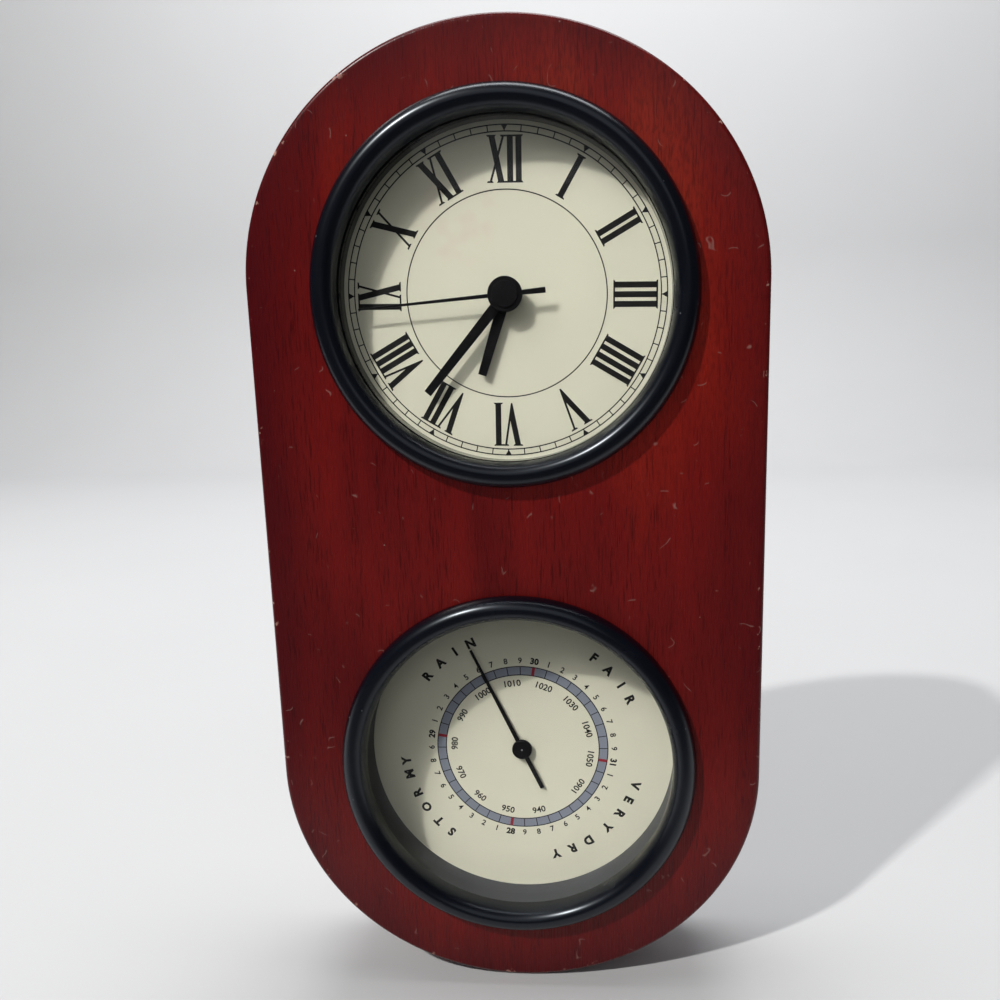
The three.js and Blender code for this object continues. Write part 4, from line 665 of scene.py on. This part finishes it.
def bezel_profile(lip, lens_depth, sleeve):
    """Bead and sleeve: the bead's outside swells from the flange's edge as the quarter ellipse
    (crest + b cos t, -0.35 - 4.65 sin t), its inside is the quarter ellipse (crest - c sin t, -0.2 - 4.8 cos t)
    down to the lip, and a short wall leads from a lip that stands off the lens back to it."""
    t = np.linspace(0, np.pi / 2, 33)[:, None]
    outside = np.hstack([CREST + (FLANGE - CREST) * np.cos(t), -FLANGE_EDGE - (PROUD - FLANGE_EDGE) * np.sin(t)])
    inside = np.hstack([CREST - (CREST - lip) * np.sin(t), LIP_DEPTH - (PROUD + LIP_DEPTH) * np.cos(t)])[1:]
    foot = [(FLANGE - 0.1, 0), (FLANGE, -0.1)]
    wall = [(lip + 0.15, lens_depth - 0.15), (lip + 0.3, lens_depth)] if lens_depth > LIP_DEPTH else []
    tube = [(SLEEVE_IN, lens_depth), (SLEEVE_IN, sleeve), (SLEEVE_OUT, sleeve), (SLEEVE_OUT, 0)]
    return np.array(foot + outside.tolist() + inside.tolist() + wall + tube)


def shell(prefix, centre, lip, lens_depth, dial_depth, dial_hole, ring, ring_slot):
    """One instrument's turned pieces, from the front to the dial; the ring is its inner radius at front and back."""
    lens_back = lens_depth + LENS_THICKNESS
    profile = bezel_profile(lip, lens_depth, dial_depth + SLEEVE_PAST_DIAL)
    piece(prefix + "_turned_bezel", [turned(profile, centre, BEZEL_ROUND)], "black_bezel", prefix + "_bezel")
    piece(prefix + "_pane", [disc(LENS, lens_depth, lens_back, centre, 0.15)], "lens_glass", prefix + "_lens")
    spacer = hoop(ring[0], LENS, lens_back, dial_depth, centre, ring[1])
    piece(prefix + "_inner_ring", [spacer], ring_slot, prefix + "_spacer_ring")
    plate = hoop(dial_hole, DIAL, dial_depth, dial_depth + DIAL_THICKNESS, centre)
    piece(prefix + "_dial_plate", [plate], "dial_card", prefix + "_dial")


shell("clock", CLOCK, 48.7, LIP_DEPTH, CLOCK_DIAL_DEPTH, 4.2, (48.5, 48.5), "gloss_ring")
shell("barometer", BAROMETER, 48.9, 2.2, BARO_DIAL_DEPTH, 1.6, (51.2, 50.2), "satin_ring")


# Printing on the clock's dial

NUMERAL_TOP, NUMERAL_FOOT = 44.4, 31.4
THICK, THIN, SERIF, TAPER = 1.72, 0.62, 0.5, 0.3
TRACK_IN, TRACK_OUT, CIRCLE = 45.4, 47.2, 29.65
LINE = 0.17  # half the width of a circle's line


def bar(top, foot, width):
    """A stroke cut square to the numeral: a parallelogram from its top to its foot."""
    wide = width / 2 * math.hypot(1, (top - foot) / (NUMERAL_TOP - NUMERAL_FOOT))
    return [(top - wide, NUMERAL_TOP), (top + wide, NUMERAL_TOP),
            (foot + wide, NUMERAL_FOOT), (foot - wide, NUMERAL_FOOT)]


def vee(thick, thin, apex):
    """A V: two strokes whose outer edges run to a point and whose inner edges are parallel to them, and so meet in
    a crotch."""
    foot, half = NUMERAL_FOOT + 0.1, 0.22
    tall = foot - NUMERAL_TOP
    slope_left, slope_right = (apex - half - thick + THICK / 2) / tall, (apex + half - thin - THIN / 2) / tall
    down = (thin - THIN / 2 - thick - THICK / 2) / (slope_left - slope_right)
    crotch = (thick + THICK / 2 + slope_left * down, NUMERAL_TOP + down)
    left, right = (apex - half, foot), (apex + half, foot)
    return [
        [(thick - THICK / 2, NUMERAL_TOP), (thick + THICK / 2, NUMERAL_TOP), crotch, left],
        [(thin - THIN / 2, NUMERAL_TOP), (thin + THIN / 2, NUMERAL_TOP), right, crotch],
        [left, crotch, right, right],
    ]


def serif(left, right, top):
    """A flat serif whose ends taper into its strokes."""
    outer, inner = (NUMERAL_TOP, NUMERAL_TOP - SERIF) if top else (NUMERAL_FOOT, NUMERAL_FOOT + SERIF)
    return [(left, outer), (right, outer), (right - TAPER, inner), (left + TAPER, inner)]


def ones(*places):
    return [bar(place, place, THICK) for place in places]


def cross(thick, thin):
    """An X from a thick and a thin stroke, each given by its top and foot."""
    return [bar(*thick, THICK)], [bar(*thin, THIN)]


# Strokes by layer, then serifs as (left, right) at the top and at the foot
NUMERALS = {
    1: (ones(0), [], [(-1.5, 1.5)], [(-1.5, 1.5)]),
    2: (ones(-1.25, 1.25), [], [(-2.75, 2.75)], [(-2.75, 2.75)]),
    3: (ones(-2.75, 0, 2.75), [], [(-4.2, 4.2)], [(-4.2, 4.2)]),
    4: (ones(-3.9, -1.3, 1.3, 3.9), [], [(-5.3, 5.3)], [(-5.3, 5.3)]),
    5: (vee(-2.4, 2.3, 0.1), [], [(-3.9, -0.9), (1.2, 3.4)], []),
    6: (vee(-3.02, 0.8, -1.08) + ones(2.98), [], [(-4.5, -1.5), (-0.2, 4.4)], [(1.5, 4.4)]),
    7: (vee(-4.3, -0.7, -2.5) + ones(1.3, 3.8), [], [(-5.8, -2.9), (-1.7, 5.3)], [(-0.2, 5.3)]),
    8: (vee(-5.2, -1.8, -3.5) + ones(0.0, 2.4, 4.8), [], [(-6.7, -3.8), (-2.7, 6.3)], [(-1.4, 6.3)]),
    9: (ones(-3.1), cross((-0.5, 2.6), (3.0, -0.5)), [(-4.5, 0.9), (2.0, 4.1)], [(-4.5, 0.5), (1.2, 4.1)]),
    10: ([], cross((-1.9, 1.9), (2.0, -2.0)), [(-3.3, -0.5), (1.0, 3.1)], [(-3.1, -1.0), (0.5, 3.3)]),
    11: (ones(2.9), cross((-2.9, 0.2), (0.6, -3.0)), [(-4.3, -1.5), (-0.4, 4.4)], [(-4.1, -2.0), (-1.2, 4.4)]),
    12: (ones(1.59, 4.05), cross((-3.74, -0.97), (-0.26, -4.16)), [(-5.2, -2.4), (-1.3, 5.4)],
         [(-5.2, -3.2), (-2.3, 5.4)]),
}


def clock_printing():
    """Everything black on the clock's dial: numerals, three circles, sixty ticks and twelve darts. Each kind stands
    a hair less proud than the one before, so that no two faces share a plane."""
    back = CLOCK_DIAL_DEPTH + ROOT
    layers = [[], [], []]
    for hour, (strokes, crossed, tops, feet) in NUMERALS.items():
        thick, thin = crossed or ([], [])
        serifs = [serif(*ends, True) for ends in tops] + [serif(*ends, False) for ends in feet]
        for layer, quads in zip(layers, (strokes + thick, thin, serifs)):
            layer += [on_dial(quad, CLOCK, hour * 30 + DIAL_TURN) for quad in quads]
    sheets = [tiles(np.stack(quads), CLOCK_DIAL_DEPTH - INK + 0.004 * i, back) for i, quads in enumerate(layers)]
    minutes, hours = np.arange(60) * 6 + DIAL_TURN, np.arange(12) * 30 + DIAL_TURN
    sheets.append(marks_round(CLOCK, minutes, (0.16, TRACK_IN), (0.16, TRACK_OUT), CLOCK_DIAL_DEPTH - 0.014, back))
    sheets.append(marks_round(CLOCK, hours, (0.95, TRACK_OUT), (0.06, 45.6), CLOCK_DIAL_DEPTH - 0.01, back))
    for radius in (CIRCLE, TRACK_IN, TRACK_OUT):
        sheets.append(hoop(radius - LINE, radius + LINE, CLOCK_DIAL_DEPTH - 0.018, back, CLOCK, ease=0.001))
    piece("clock_printing", sheets, "dial_card", paint=ink_black)


clock_printing()


# Printing on the barometer's dial

def glyphs(text, height, bold):
    """A word's flat triangles from the built-in letters, scaled to a capital's height and centred: points (u, r)
    and corner numbers, with the thickness left to the caller."""
    curve = bpy.data.curves.new("letters", "FONT")
    curve.body, curve.size, curve.offset, curve.resolution_u = text, 1.0, bold, 3
    carrier = bpy.data.objects.new("letters", curve)
    collection.objects.link(carrier)
    bpy.context.view_layer.update()
    flat = bpy.data.meshes.new_from_object(carrier.evaluated_get(bpy.context.evaluated_depsgraph_get()))
    flat.calc_loop_triangles()
    points = np.zeros(len(flat.vertices) * 3)
    flat.vertices.foreach_get("co", points)
    corners = np.zeros(len(flat.loop_triangles) * 3, int)
    flat.loop_triangles.foreach_get("vertices", corners)
    bpy.data.objects.remove(carrier)
    bpy.data.meshes.remove(flat)
    bpy.data.curves.remove(curve)
    points = points.reshape(-1, 3)[:, :2]
    low, high = points.min(0), points.max(0)
    return (points - (low + high) / 2) * height / (high[1] - low[1]), corners.reshape(-1, 3)


def raised(points, corners, front, back):
    """Flat triangles given thickness: the same points at two depths, the triangles on both, and a wall on every
    edge that only one triangle has."""
    points, welded = np.unique(np.round(points, 4), axis=0, return_inverse=True)
    corners = welded.reshape(-1)[corners]
    a, b, c = (points[corners[:, k]] for k in range(3))
    area = (b - a)[:, 0] * (c - a)[:, 1] - (b - a)[:, 1] * (c - a)[:, 0]
    corners = np.where((area < 0)[:, None], corners[:, ::-1], corners)[np.abs(area) > 1e-9]
    edges = np.concatenate([corners[:, [0, 1]], corners[:, [1, 2]], corners[:, [2, 0]]])
    keys = np.sort(edges, axis=1) @ [len(points), 1]
    _, place, count = np.unique(keys, return_inverse=True, return_counts=True)
    rim = edges[count[place.reshape(-1)] == 1]
    n = len(points)
    walls = np.stack([rim[:, 1], rim[:, 0], rim[:, 0] + n, rim[:, 1] + n], -1)
    both = np.concatenate([at_depth(points, front), at_depth(points, back)])
    return [(both, corners), (both, corners[:, ::-1] + n), (both, walls)]


def label(text, height, radius, angle, bold=0.0, inwards=False):
    """A word on the dial, its tops outwards, or inwards when it is turned by half a turn in its place."""
    points, corners = glyphs(text, height, bold)
    placed = on_dial((-points if inwards else points) + [0, radius], BAROMETER, angle)
    return raised(placed, corners, BARO_DIAL_DEPTH - INK, BARO_DIAL_DEPTH + ROOT)


WEATHER = {
    "R": [309.4, 64.6, 126.2, 156.3, 245.6], "A": [318.3, 46.7], "I": [327.5, 56.1], "N": [336.1], "F": [37.6],
    "V": [109.2], "E": [117.5], "Y": [135.3, 164.6, 262.8], "D": [147.1], "S": [219.1], "T": [227.5],
    "O": [236.9], "M": [255.8],
}
INCHES = {28: 189, 29: 279, 30: 9, 31: 99}
HECTOPASCAL_PER_INCH = 33.8639
SCALE_IN, SCALE_OUT = 25.6, 28.5
LETTERS, TENTHS, PRESSURES = 39.8, 30.6, 22.8  # radii of the words and of the numbers outside and inside the scale


def barometer_printing():
    """Black: weather letters at a radius of 39.8, the scale's two outlines and forty lines, tenths of an inch outside
    it and hectopascals inside it, at 9 + (hPa / 33.8639 - 30) 90 degrees. Then the grey band and four red marks."""
    back = BARO_DIAL_DEPTH + ROOT
    sheets = []
    for letter, angles in WEATHER.items():
        for angle in angles:
            sheets += label(letter, 3.25, LETTERS, angle, 0.05)
    for inch, angle in INCHES.items():
        sheets += label(str(inch), 2.25, TENTHS, angle, 0.045, inwards=inch == 28)
        for tenth in range(1, 10):
            round_dial = (angle + 9 * tenth) % 360
            sheets += label(str(tenth), 2.0, TENTHS, round_dial, 0.006 if tenth == 4 else 0.020,
                            inwards=100 < round_dial < 275)
    for pressure in range(940, 1061, 10):
        round_dial = 9 + (pressure / HECTOPASCAL_PER_INCH - 30) * 90
        sheets += label(str(pressure), 2.25, PRESSURES, round_dial, 0.020, inwards=pressure < 975 or pressure > 1055)
    sheets.append(marks_round(BAROMETER, np.arange(40) * 9.0, (0.13, SCALE_IN), (0.13, SCALE_OUT),
                              BARO_DIAL_DEPTH - 0.02, back))
    for radius in (SCALE_IN, SCALE_OUT):
        sheets.append(hoop(radius - 0.16, radius + 0.16, BARO_DIAL_DEPTH - 0.024, back, BAROMETER, ease=0.001))
    piece("barometer_printing", sheets, "dial_card", paint=ink_black)
    band = hoop(SCALE_IN, SCALE_OUT, BARO_DIAL_DEPTH - 0.012, back, BAROMETER, ease=0.001)
    piece("barometer_scale_band", [band], "dial_card", paint=ink_grey)
    inch_marks = marks_round(BAROMETER, [float(angle) for angle in INCHES.values()], (0.48, SCALE_IN + 0.1),
                             (0.48, SCALE_OUT - 0.1), BARO_DIAL_DEPTH - 0.028, back)
    piece("barometer_inch_marks", [inch_marks], "dial_card", paint=ink_red)


barometer_printing()


# Hands

def blade(centre, angle, front, thickness, tip, widths, tail=1, tail_width=None):
    """A tapered hand: its outline runs from the root to the tip and back to the tail, as a prism with rounded
    edges."""
    root, end = widths
    back = root if tail_width is None else tail_width
    corners = [(-root / 2, 0), (-end / 2, tip), (end / 2, tip), (root / 2, 0), (back / 2, -tail), (-back / 2, -tail)]
    outline = eased(corners, [0.3, 0.12, 0.12, 0.3, 0.2, 0.2], steps=2)
    points, faces = prism(outline, front, front + thickness, 0.1)
    return at_depth(on_dial(points[:, [0, 2]], centre, angle), points[:, 1:2]), faces


def make_hands():
    """Each hand is a blade and its hub: a ring on the hour and minute hands, a turned cap on the other two."""
    hour = [blade(CLOCK, 198.6, 4.7, 0.4, 24.4, (3.5, 2.5)), hoop(2.57, 4.17, 4.69, 5.11, CLOCK, ease=0.1)]
    minute = [blade(CLOCK, 220.6, 3.5, 0.4, 37.2, (3.3, 2.4)), hoop(1.7, 3.4, 3.49, 3.91, CLOCK, ease=0.1)]
    cap = eased([(0, 1.8), (3.8, 1.8), (3.8, 2.2), (5.1, 2.2), (5.1, 3.0), (0, 3.0)], [0, 0.15, 0.05, 0.15, 0.05, 0])
    second = [blade(CLOCK, 265.4, 2.6, 0.39, 43.6, (1.2, 0.55), 11.9, 1.7), turned(cap, CLOCK)]
    hub = eased([(0, 11.8), (3.3, 11.8), (3.3, 12.8), (0, 12.8)], [0, 0.3, 0.05, 0])
    pointer = [blade(BAROMETER, 334.9, 12.4, 0.39, 37.9, (1.45, 0.85), 15.3, 1.4), turned(hub, BAROMETER)]
    for name, sheets in (("hour_hand", hour), ("minute_hand", minute), ("second_hand", second), ("pointer", pointer)):
        piece(name + "_smooth", sheets, "black_hand", name, body=name.removesuffix("_hand") + "_drive")
    pin = disc(0.3, 11.75, 11.95, BAROMETER, 0.08, SMALL_ROUND)
    piece("pointer_pin_end", [pin], "steel", body="pointer_drive")


make_hands()


# The back

def hanger():
    """The plate's outline with eleven notches along its lower edge, and its two round-headed nails."""
    half, top, foot = HANGER_SIZE[0] / 2, HANGER_Z + HANGER_SIZE[1] / 2, HANGER_Z - HANGER_SIZE[1] / 2
    pitch = NOTCHED / NOTCHES
    teeth = [(pitch * (k / 2) - NOTCHED / 2, foot + (k % 2)) for k in range(2 * NOTCHES + 1)]
    outline = [(half, foot), (half, top), (-half, top), (-half, foot)] + teeth
    nails = {"left": (-NAIL_X, HANGER_Z), "right": (NAIL_X, HANGER_Z)}
    holes = [drill(place, NAIL_HOLE, HANGER_FRONT - 1, HANGER_BACK + 1) for place in nails.values()]
    piece("hanger_plate", [prism(outline, HANGER_FRONT, HANGER_BACK, 0.08)], "steel", "sawtooth_hanger", cuts=holes)
    corners = [(0, -9), (0.7, -7.6), (0.7, 0), (1.8, 0), (1.8, 0.6), (0, 0.6)]
    profile = eased([(radius, HANGER_BACK + depth) for radius, depth in corners], [0, 0, 0.05, 0.05, 0.3, 0])
    for side, place in nails.items():
        piece("round_nail_" + side, [turned(profile, place, SMALL_ROUND)], "steel", "hanger_nail_" + side)


def movement_case():
    """The case: an eased block with the works' well and the battery's bay sunk from behind, the bush on its front
    and the cover on its back."""
    z, inner, floor = CLOCK[1], CASE - CASE_WALL, CASE_FRONT + 1.4
    body = block((-CASE, CASE_FRONT, z - CASE), (CASE, CASE_BACK, z + CASE), 0.5)
    flange = block((-CASE_FLANGE, CASE_FRONT, z - CASE_FLANGE), (CASE_FLANGE, CASE_FRONT + 1.2, z + CASE_FLANGE), 0.3)
    well = block((-inner, floor, z + BAY_TOP + CASE_WALL), (inner, CASE_BACK + 1, z + inner), 0.3)
    bay = block((-inner, floor, z - inner), (inner, CASE_BACK + 1, z + BAY_TOP), 0.3)
    hole = drill(CLOCK, BUSH_HOLE, CASE_FRONT - 1, CASE_FRONT + 2)
    piece("quartz_case", [body], "black_plastic", "movement_front_case", joined=[flange], cuts=[well, bay, hole])
    bush = hoop(BUSH_HOLE, BUSH, BUSH_FRONT, CASE_FRONT, CLOCK, steps=SMALL_ROUND)
    piece("quartz_case_bush", [bush], "black_plastic")
    lid = block((-CASE, CASE_BACK, z + BAY_TOP), (CASE, COVER_BACK, z + CASE), 0.4)
    piece("quartz_cover", [lid], "black_plastic", "movement_back_cover",
          cuts=[drill(KNOB, 1.12, CASE_BACK - 1, COVER_BACK + 1)])


def setting_knob():
    """A rim with fourteen grips: r = 4.8 - 0.25 (1 - w) with the flat-topped wave w = tanh(2.5 cos 14 t) / tanh 2.5,
    drawn in at both ends."""
    t = np.linspace(0, 2 * np.pi, 14 * 16, endpoint=False)
    wave = np.tanh(2.5 * np.cos(14 * t)) / math.tanh(2.5)
    radius = 4.8 - 0.25 * (1 - wave)
    outline = np.stack([KNOB[0] + radius * np.sin(t), KNOB[1] + radius * np.cos(t)], -1)
    grip = prism(outline, COVER_BACK + 0.4, COVER_BACK + 4.4, 0.35, 4)
    piece("setting_knob_smooth", [grip], "black_plastic", "setting_knob", body="setting_drive")


def battery():
    """A printed sleeve crimped over its ends, a steel cup at each end and the raised nub of the positive one. Each
    profile is (radius, x)."""
    jacket = eased([(0, -24.9), (7.1, -24.9), (7.1, 23.6), (0, 23.6)], [0, 0.9, 0.9, 0], steps=6)
    foot = eased([(0, -25.2), (5.6, -25.2), (5.6, -24.85), (0, -24.85)], [0, 0.15, 0, 0])
    crown = [(0, 23.55), (5.4, 23.55), (5.4, 24.0), (2.75, 24.0), (2.75, 25.2), (0, 25.2)]
    crown = eased(crown, [0, 0, 0.15, 0.1, 0.35, 0])
    laid = [crossways(turned(profile), BATTERY_DEPTH, BATTERY_Z) for profile in (jacket, foot, crown)]
    piece("battery_jacket", laid[:1], "battery_sleeve", "battery")
    piece("battery_ends", laid[1:], "steel")


def contacts():
    """A leaf against each end wall and a round dimple pressed out of it towards the battery."""
    wide, dimple_radius = 5, 2.75
    for side, name in ((1, "positive"), (-1, "negative")):
        wall, face, tip = side * (CASE - CASE_WALL), side * 26.3, side * 25.5
        leaf = block((min(wall, face), BATTERY_DEPTH - wide, BATTERY_Z - wide),
                     (max(wall, face), BATTERY_DEPTH + wide, BATTERY_Z + wide), 0.1)
        profile = eased([(0, face), (dimple_radius, face), (dimple_radius, tip), (0, tip)], [0, 0.05, 0.4, 0])
        dimple = crossways(turned(profile, steps=SMALL_ROUND), BATTERY_DEPTH, BATTERY_Z)
        piece("contact_" + name, [leaf, dimple], "steel", "battery_contact_" + name)


def grip_band(prefix, centre, front):
    """A rubber band with three shallow ribs, seen between the cup and the bore."""
    inner, groove, rib = 52.1, 53.3, 53.7
    steps = [(inner, 0), (rib, 0), (rib, 1.2), (groove, 1.6), (groove, 2.0), (rib, 2.4), (rib, 3.0), (groove, 3.4),
             (groove, 3.8), (rib, 4.2), (rib, 5.4), (inner, 5.4)]
    profile = eased([(radius, front + step) for radius, step in steps], 0.2)
    piece(prefix + "_band", [turned(profile, centre)], "rubber", prefix + "_grip_band")


def cup(centre, front, back):
    """A housing: floor and wall 1.6 thick as one turned section, its outer corner well rounded."""
    inner = LENS - 1.6
    corners = [(0, back), (LENS, back), (LENS, front), (inner, front), (inner, back - 1.6), (0, back - 1.6)]
    return turned(eased(corners, [0, 1.2, 0.1, 0.1, 0.4, 0], steps=6), centre)


def cups():
    """The clock's cup has four posts round a square window for the movement, and the barometer's is drilled for
    its screws."""
    z = CLOCK[1]
    corners = [(x, z + up) for x in (-POST, POST) for up in (-POST, POST)]
    posts = [block((x - POST_HALF, POST_FRONT, up - POST_HALF), (x + POST_HALF, POST_BACK, up + POST_HALF), 0.2)
             for x, up in corners]
    window = block((-WINDOW, WINDOW_FRONT, z - WINDOW), (WINDOW, WINDOW_BACK, z + WINDOW))
    piece("clock_cup", [cup(CLOCK, CLOCK_DIAL_DEPTH + DIAL_THICKNESS, CLOCK_CUP_BACK)], "black_plastic",
          "clock_housing", joined=posts, cuts=[window])
    holes = [drill(place, BASE_HOLE, DRILL_FRONT, DRILL_BACK) for place in BASE_SCREWS.values()]
    holes.append(drill(CALIBRATION, CALIBRATION_HOLE, DRILL_FRONT, DRILL_BACK))
    piece("barometer_cup", [cup(BAROMETER, BARO_DIAL_DEPTH + DIAL_THICKNESS, BARO_CUP_BACK)], "black_plastic",
          "barometer_housing", cuts=holes)


def screw(name, slot, stands_for, place, shaft, head, tip, body="station"):
    """A slotted screw in the floor of the barometer's cup: a turned shaft and a head whose back edge is rounded,
    with the slot cut across it."""
    seat, back = BARO_CUP_BACK, BARO_CUP_BACK + HEAD_THICKNESS
    corners = [(0, tip), (shaft * 0.55, tip), (shaft, tip + 0.8), (shaft, seat), (head, seat), (head, back), (0, back)]
    profile = eased(corners, [0, 0, 0.1, 0.05, 0.1, 0.35, 0])
    x, z = place
    groove = block((x - head - 1, back - 0.5, z - 0.4), (x + head + 1, back + 1, z + 0.4))
    piece(name, [turned(profile, place, SMALL_ROUND)], slot, stands_for, body=body, cuts=[groove])


hanger()
movement_case()
setting_knob()
battery()
contacts()
grip_band("clock", CLOCK, 13.7)
grip_band("barometer", BAROMETER, 20.7)
cups()
for side, place in BASE_SCREWS.items():
    screw("slotted_screw_" + side, "steel", "base_screw_" + side, place, 1.2, 2.5, 28.0)
screw("calibration_screw_smooth", "brass", "calibration_screw", CALIBRATION, 1.5, 3, 27.5, body="calibration_drive")


# Camera, lights and stage

def camera():
    """The photograph's view: pitched down 0.1713, turned -0.0595 and rolled 0.0185 radians, 0.8069 of the frame's
    width in focal length, with the view's centre at 564.53, 509.23 of a frame of a thousand."""
    pitch, yaw, roll = 0.1713, -0.0595, 0.0185
    place = np.array([30.46, -237.3 - BOARD_THICKNESS, 51.1]) * MM
    forward = np.array([math.sin(yaw) * math.cos(pitch), math.cos(yaw) * math.cos(pitch), -math.sin(pitch)])
    right = np.cross(forward, [0, 0, 1])
    right /= np.linalg.norm(right)
    down = np.cross(forward, right)
    level_right = math.cos(roll) * right + math.sin(roll) * down
    level_down = math.cos(roll) * down - math.sin(roll) * right
    made = bpy.data.objects.new("camera", bpy.data.cameras.new("camera"))
    made.data.sensor_width = 36
    made.data.lens = 36 * 0.8069
    made.data.shift_x, made.data.shift_y = -0.06453, 0.00923
    made.data.clip_start, made.data.clip_end = 0.01, 50
    placed = np.eye(4)
    placed[:3] = np.stack([level_right, -level_down, -forward, place], 1)
    made.matrix_world = Matrix(placed.tolist())
    collection.objects.link(made)
    bpy.context.scene.camera = made


def lamp(name, place, aim, size, watts, colour):
    """A square soft light that faces a point."""
    made = bpy.data.objects.new(name, bpy.data.lights.new(name, "AREA"))
    made.data.size, made.data.energy, made.data.color = size, watts, colour
    turn = (Vector(place) - Vector(aim)).to_track_quat("Z", "Y")
    made.matrix_world = Matrix.Translation(place) @ turn.to_matrix().to_4x4()
    collection.objects.link(made)


def studio_paint():
    """Plain pale paint. Reflections see it dark from a hand's width in front of the board on, as if the table ended
    there and the room beyond it was unlit."""
    made = finish("pale_paint", (0.60, 0.60, 0.605), 0.8, shade=0.02, cloud=6, grain=400, strength=0.1,
                  distance=0.0002)
    tree = made.node_tree
    colour = principled(tree).inputs["Base Color"]
    depth = among("ShaderNodeSeparateXYZ", {0: object_place(tree)}).outputs[1]
    mirrored = node(tree, "ShaderNodeLightPath").outputs["Is Glossy Ray"]
    away = times(spread(depth, -0.20, -0.09, 0.95, 0.0), mirrored)
    tree.links.new(mix(away, colour.links[0].from_socket, (0.01, 0.01, 0.01)), colour)
    return made


def sweep():
    """A pale floor that curves up far behind into a backdrop: the profile (y, z) runs along the floor, round a
    quarter circle of half a metre and up, and is carried along x."""
    reach, wall_foot, bend, top = 4.0, 1.3, 0.5, 3.0
    u = np.linspace(0, np.pi / 2, 25)
    curve = np.stack([wall_foot + bend * np.sin(u), FLOOR + bend * (1 - np.cos(u))], -1)
    profile = np.concatenate([[(-reach, FLOOR), (-0.5, FLOOR)], curve, [(wall_foot + bend, top)]])
    across = np.linspace(-reach, reach, 9)
    rows = np.broadcast_to(profile[:, None], (len(profile), 9, 2))
    points = np.concatenate([np.broadcast_to(across[None, :, None], rows[..., :1].shape), rows], -1).reshape(-1, 3)
    mesh = bpy.data.meshes.new("floor_and_backdrop")
    mesh.from_pydata(points.tolist(), [], grid_faces(len(profile), 9)[:, ::-1].tolist())
    mesh.shade_smooth()
    mesh.materials.append(studio_paint())
    made = bpy.data.objects.new("floor_and_backdrop", mesh)
    collection.objects.link(made)


def surroundings():
    """Even soft light from all round."""
    world = bpy.data.worlds.new("studio")
    world.use_nodes = True
    sky = world.node_tree.nodes["Background"]
    sky.inputs["Color"].default_value = (0.88, 0.93, 1.0, 1)
    sky.inputs["Strength"].default_value = 0.05
    bpy.context.scene.world = world
    bpy.context.scene.view_settings.view_transform = "Standard"


camera()
sweep()
surroundings()
lamp("key_light", (-1.20, -1.33, 1.78), (0, 0, 0), 0.08, 43, (1.0, 0.99, 0.965))
lamp("ceiling_light", (0.1, -1.5, 0.95), (0, 0, 0), 1.1, 2.1, (0.95, 0.97, 1.0))
lamp("backdrop_light", (0, 0.5, 2.2), (0, 1.8, 0.3), 1.6, 56, (0.98, 0.99, 1.0))
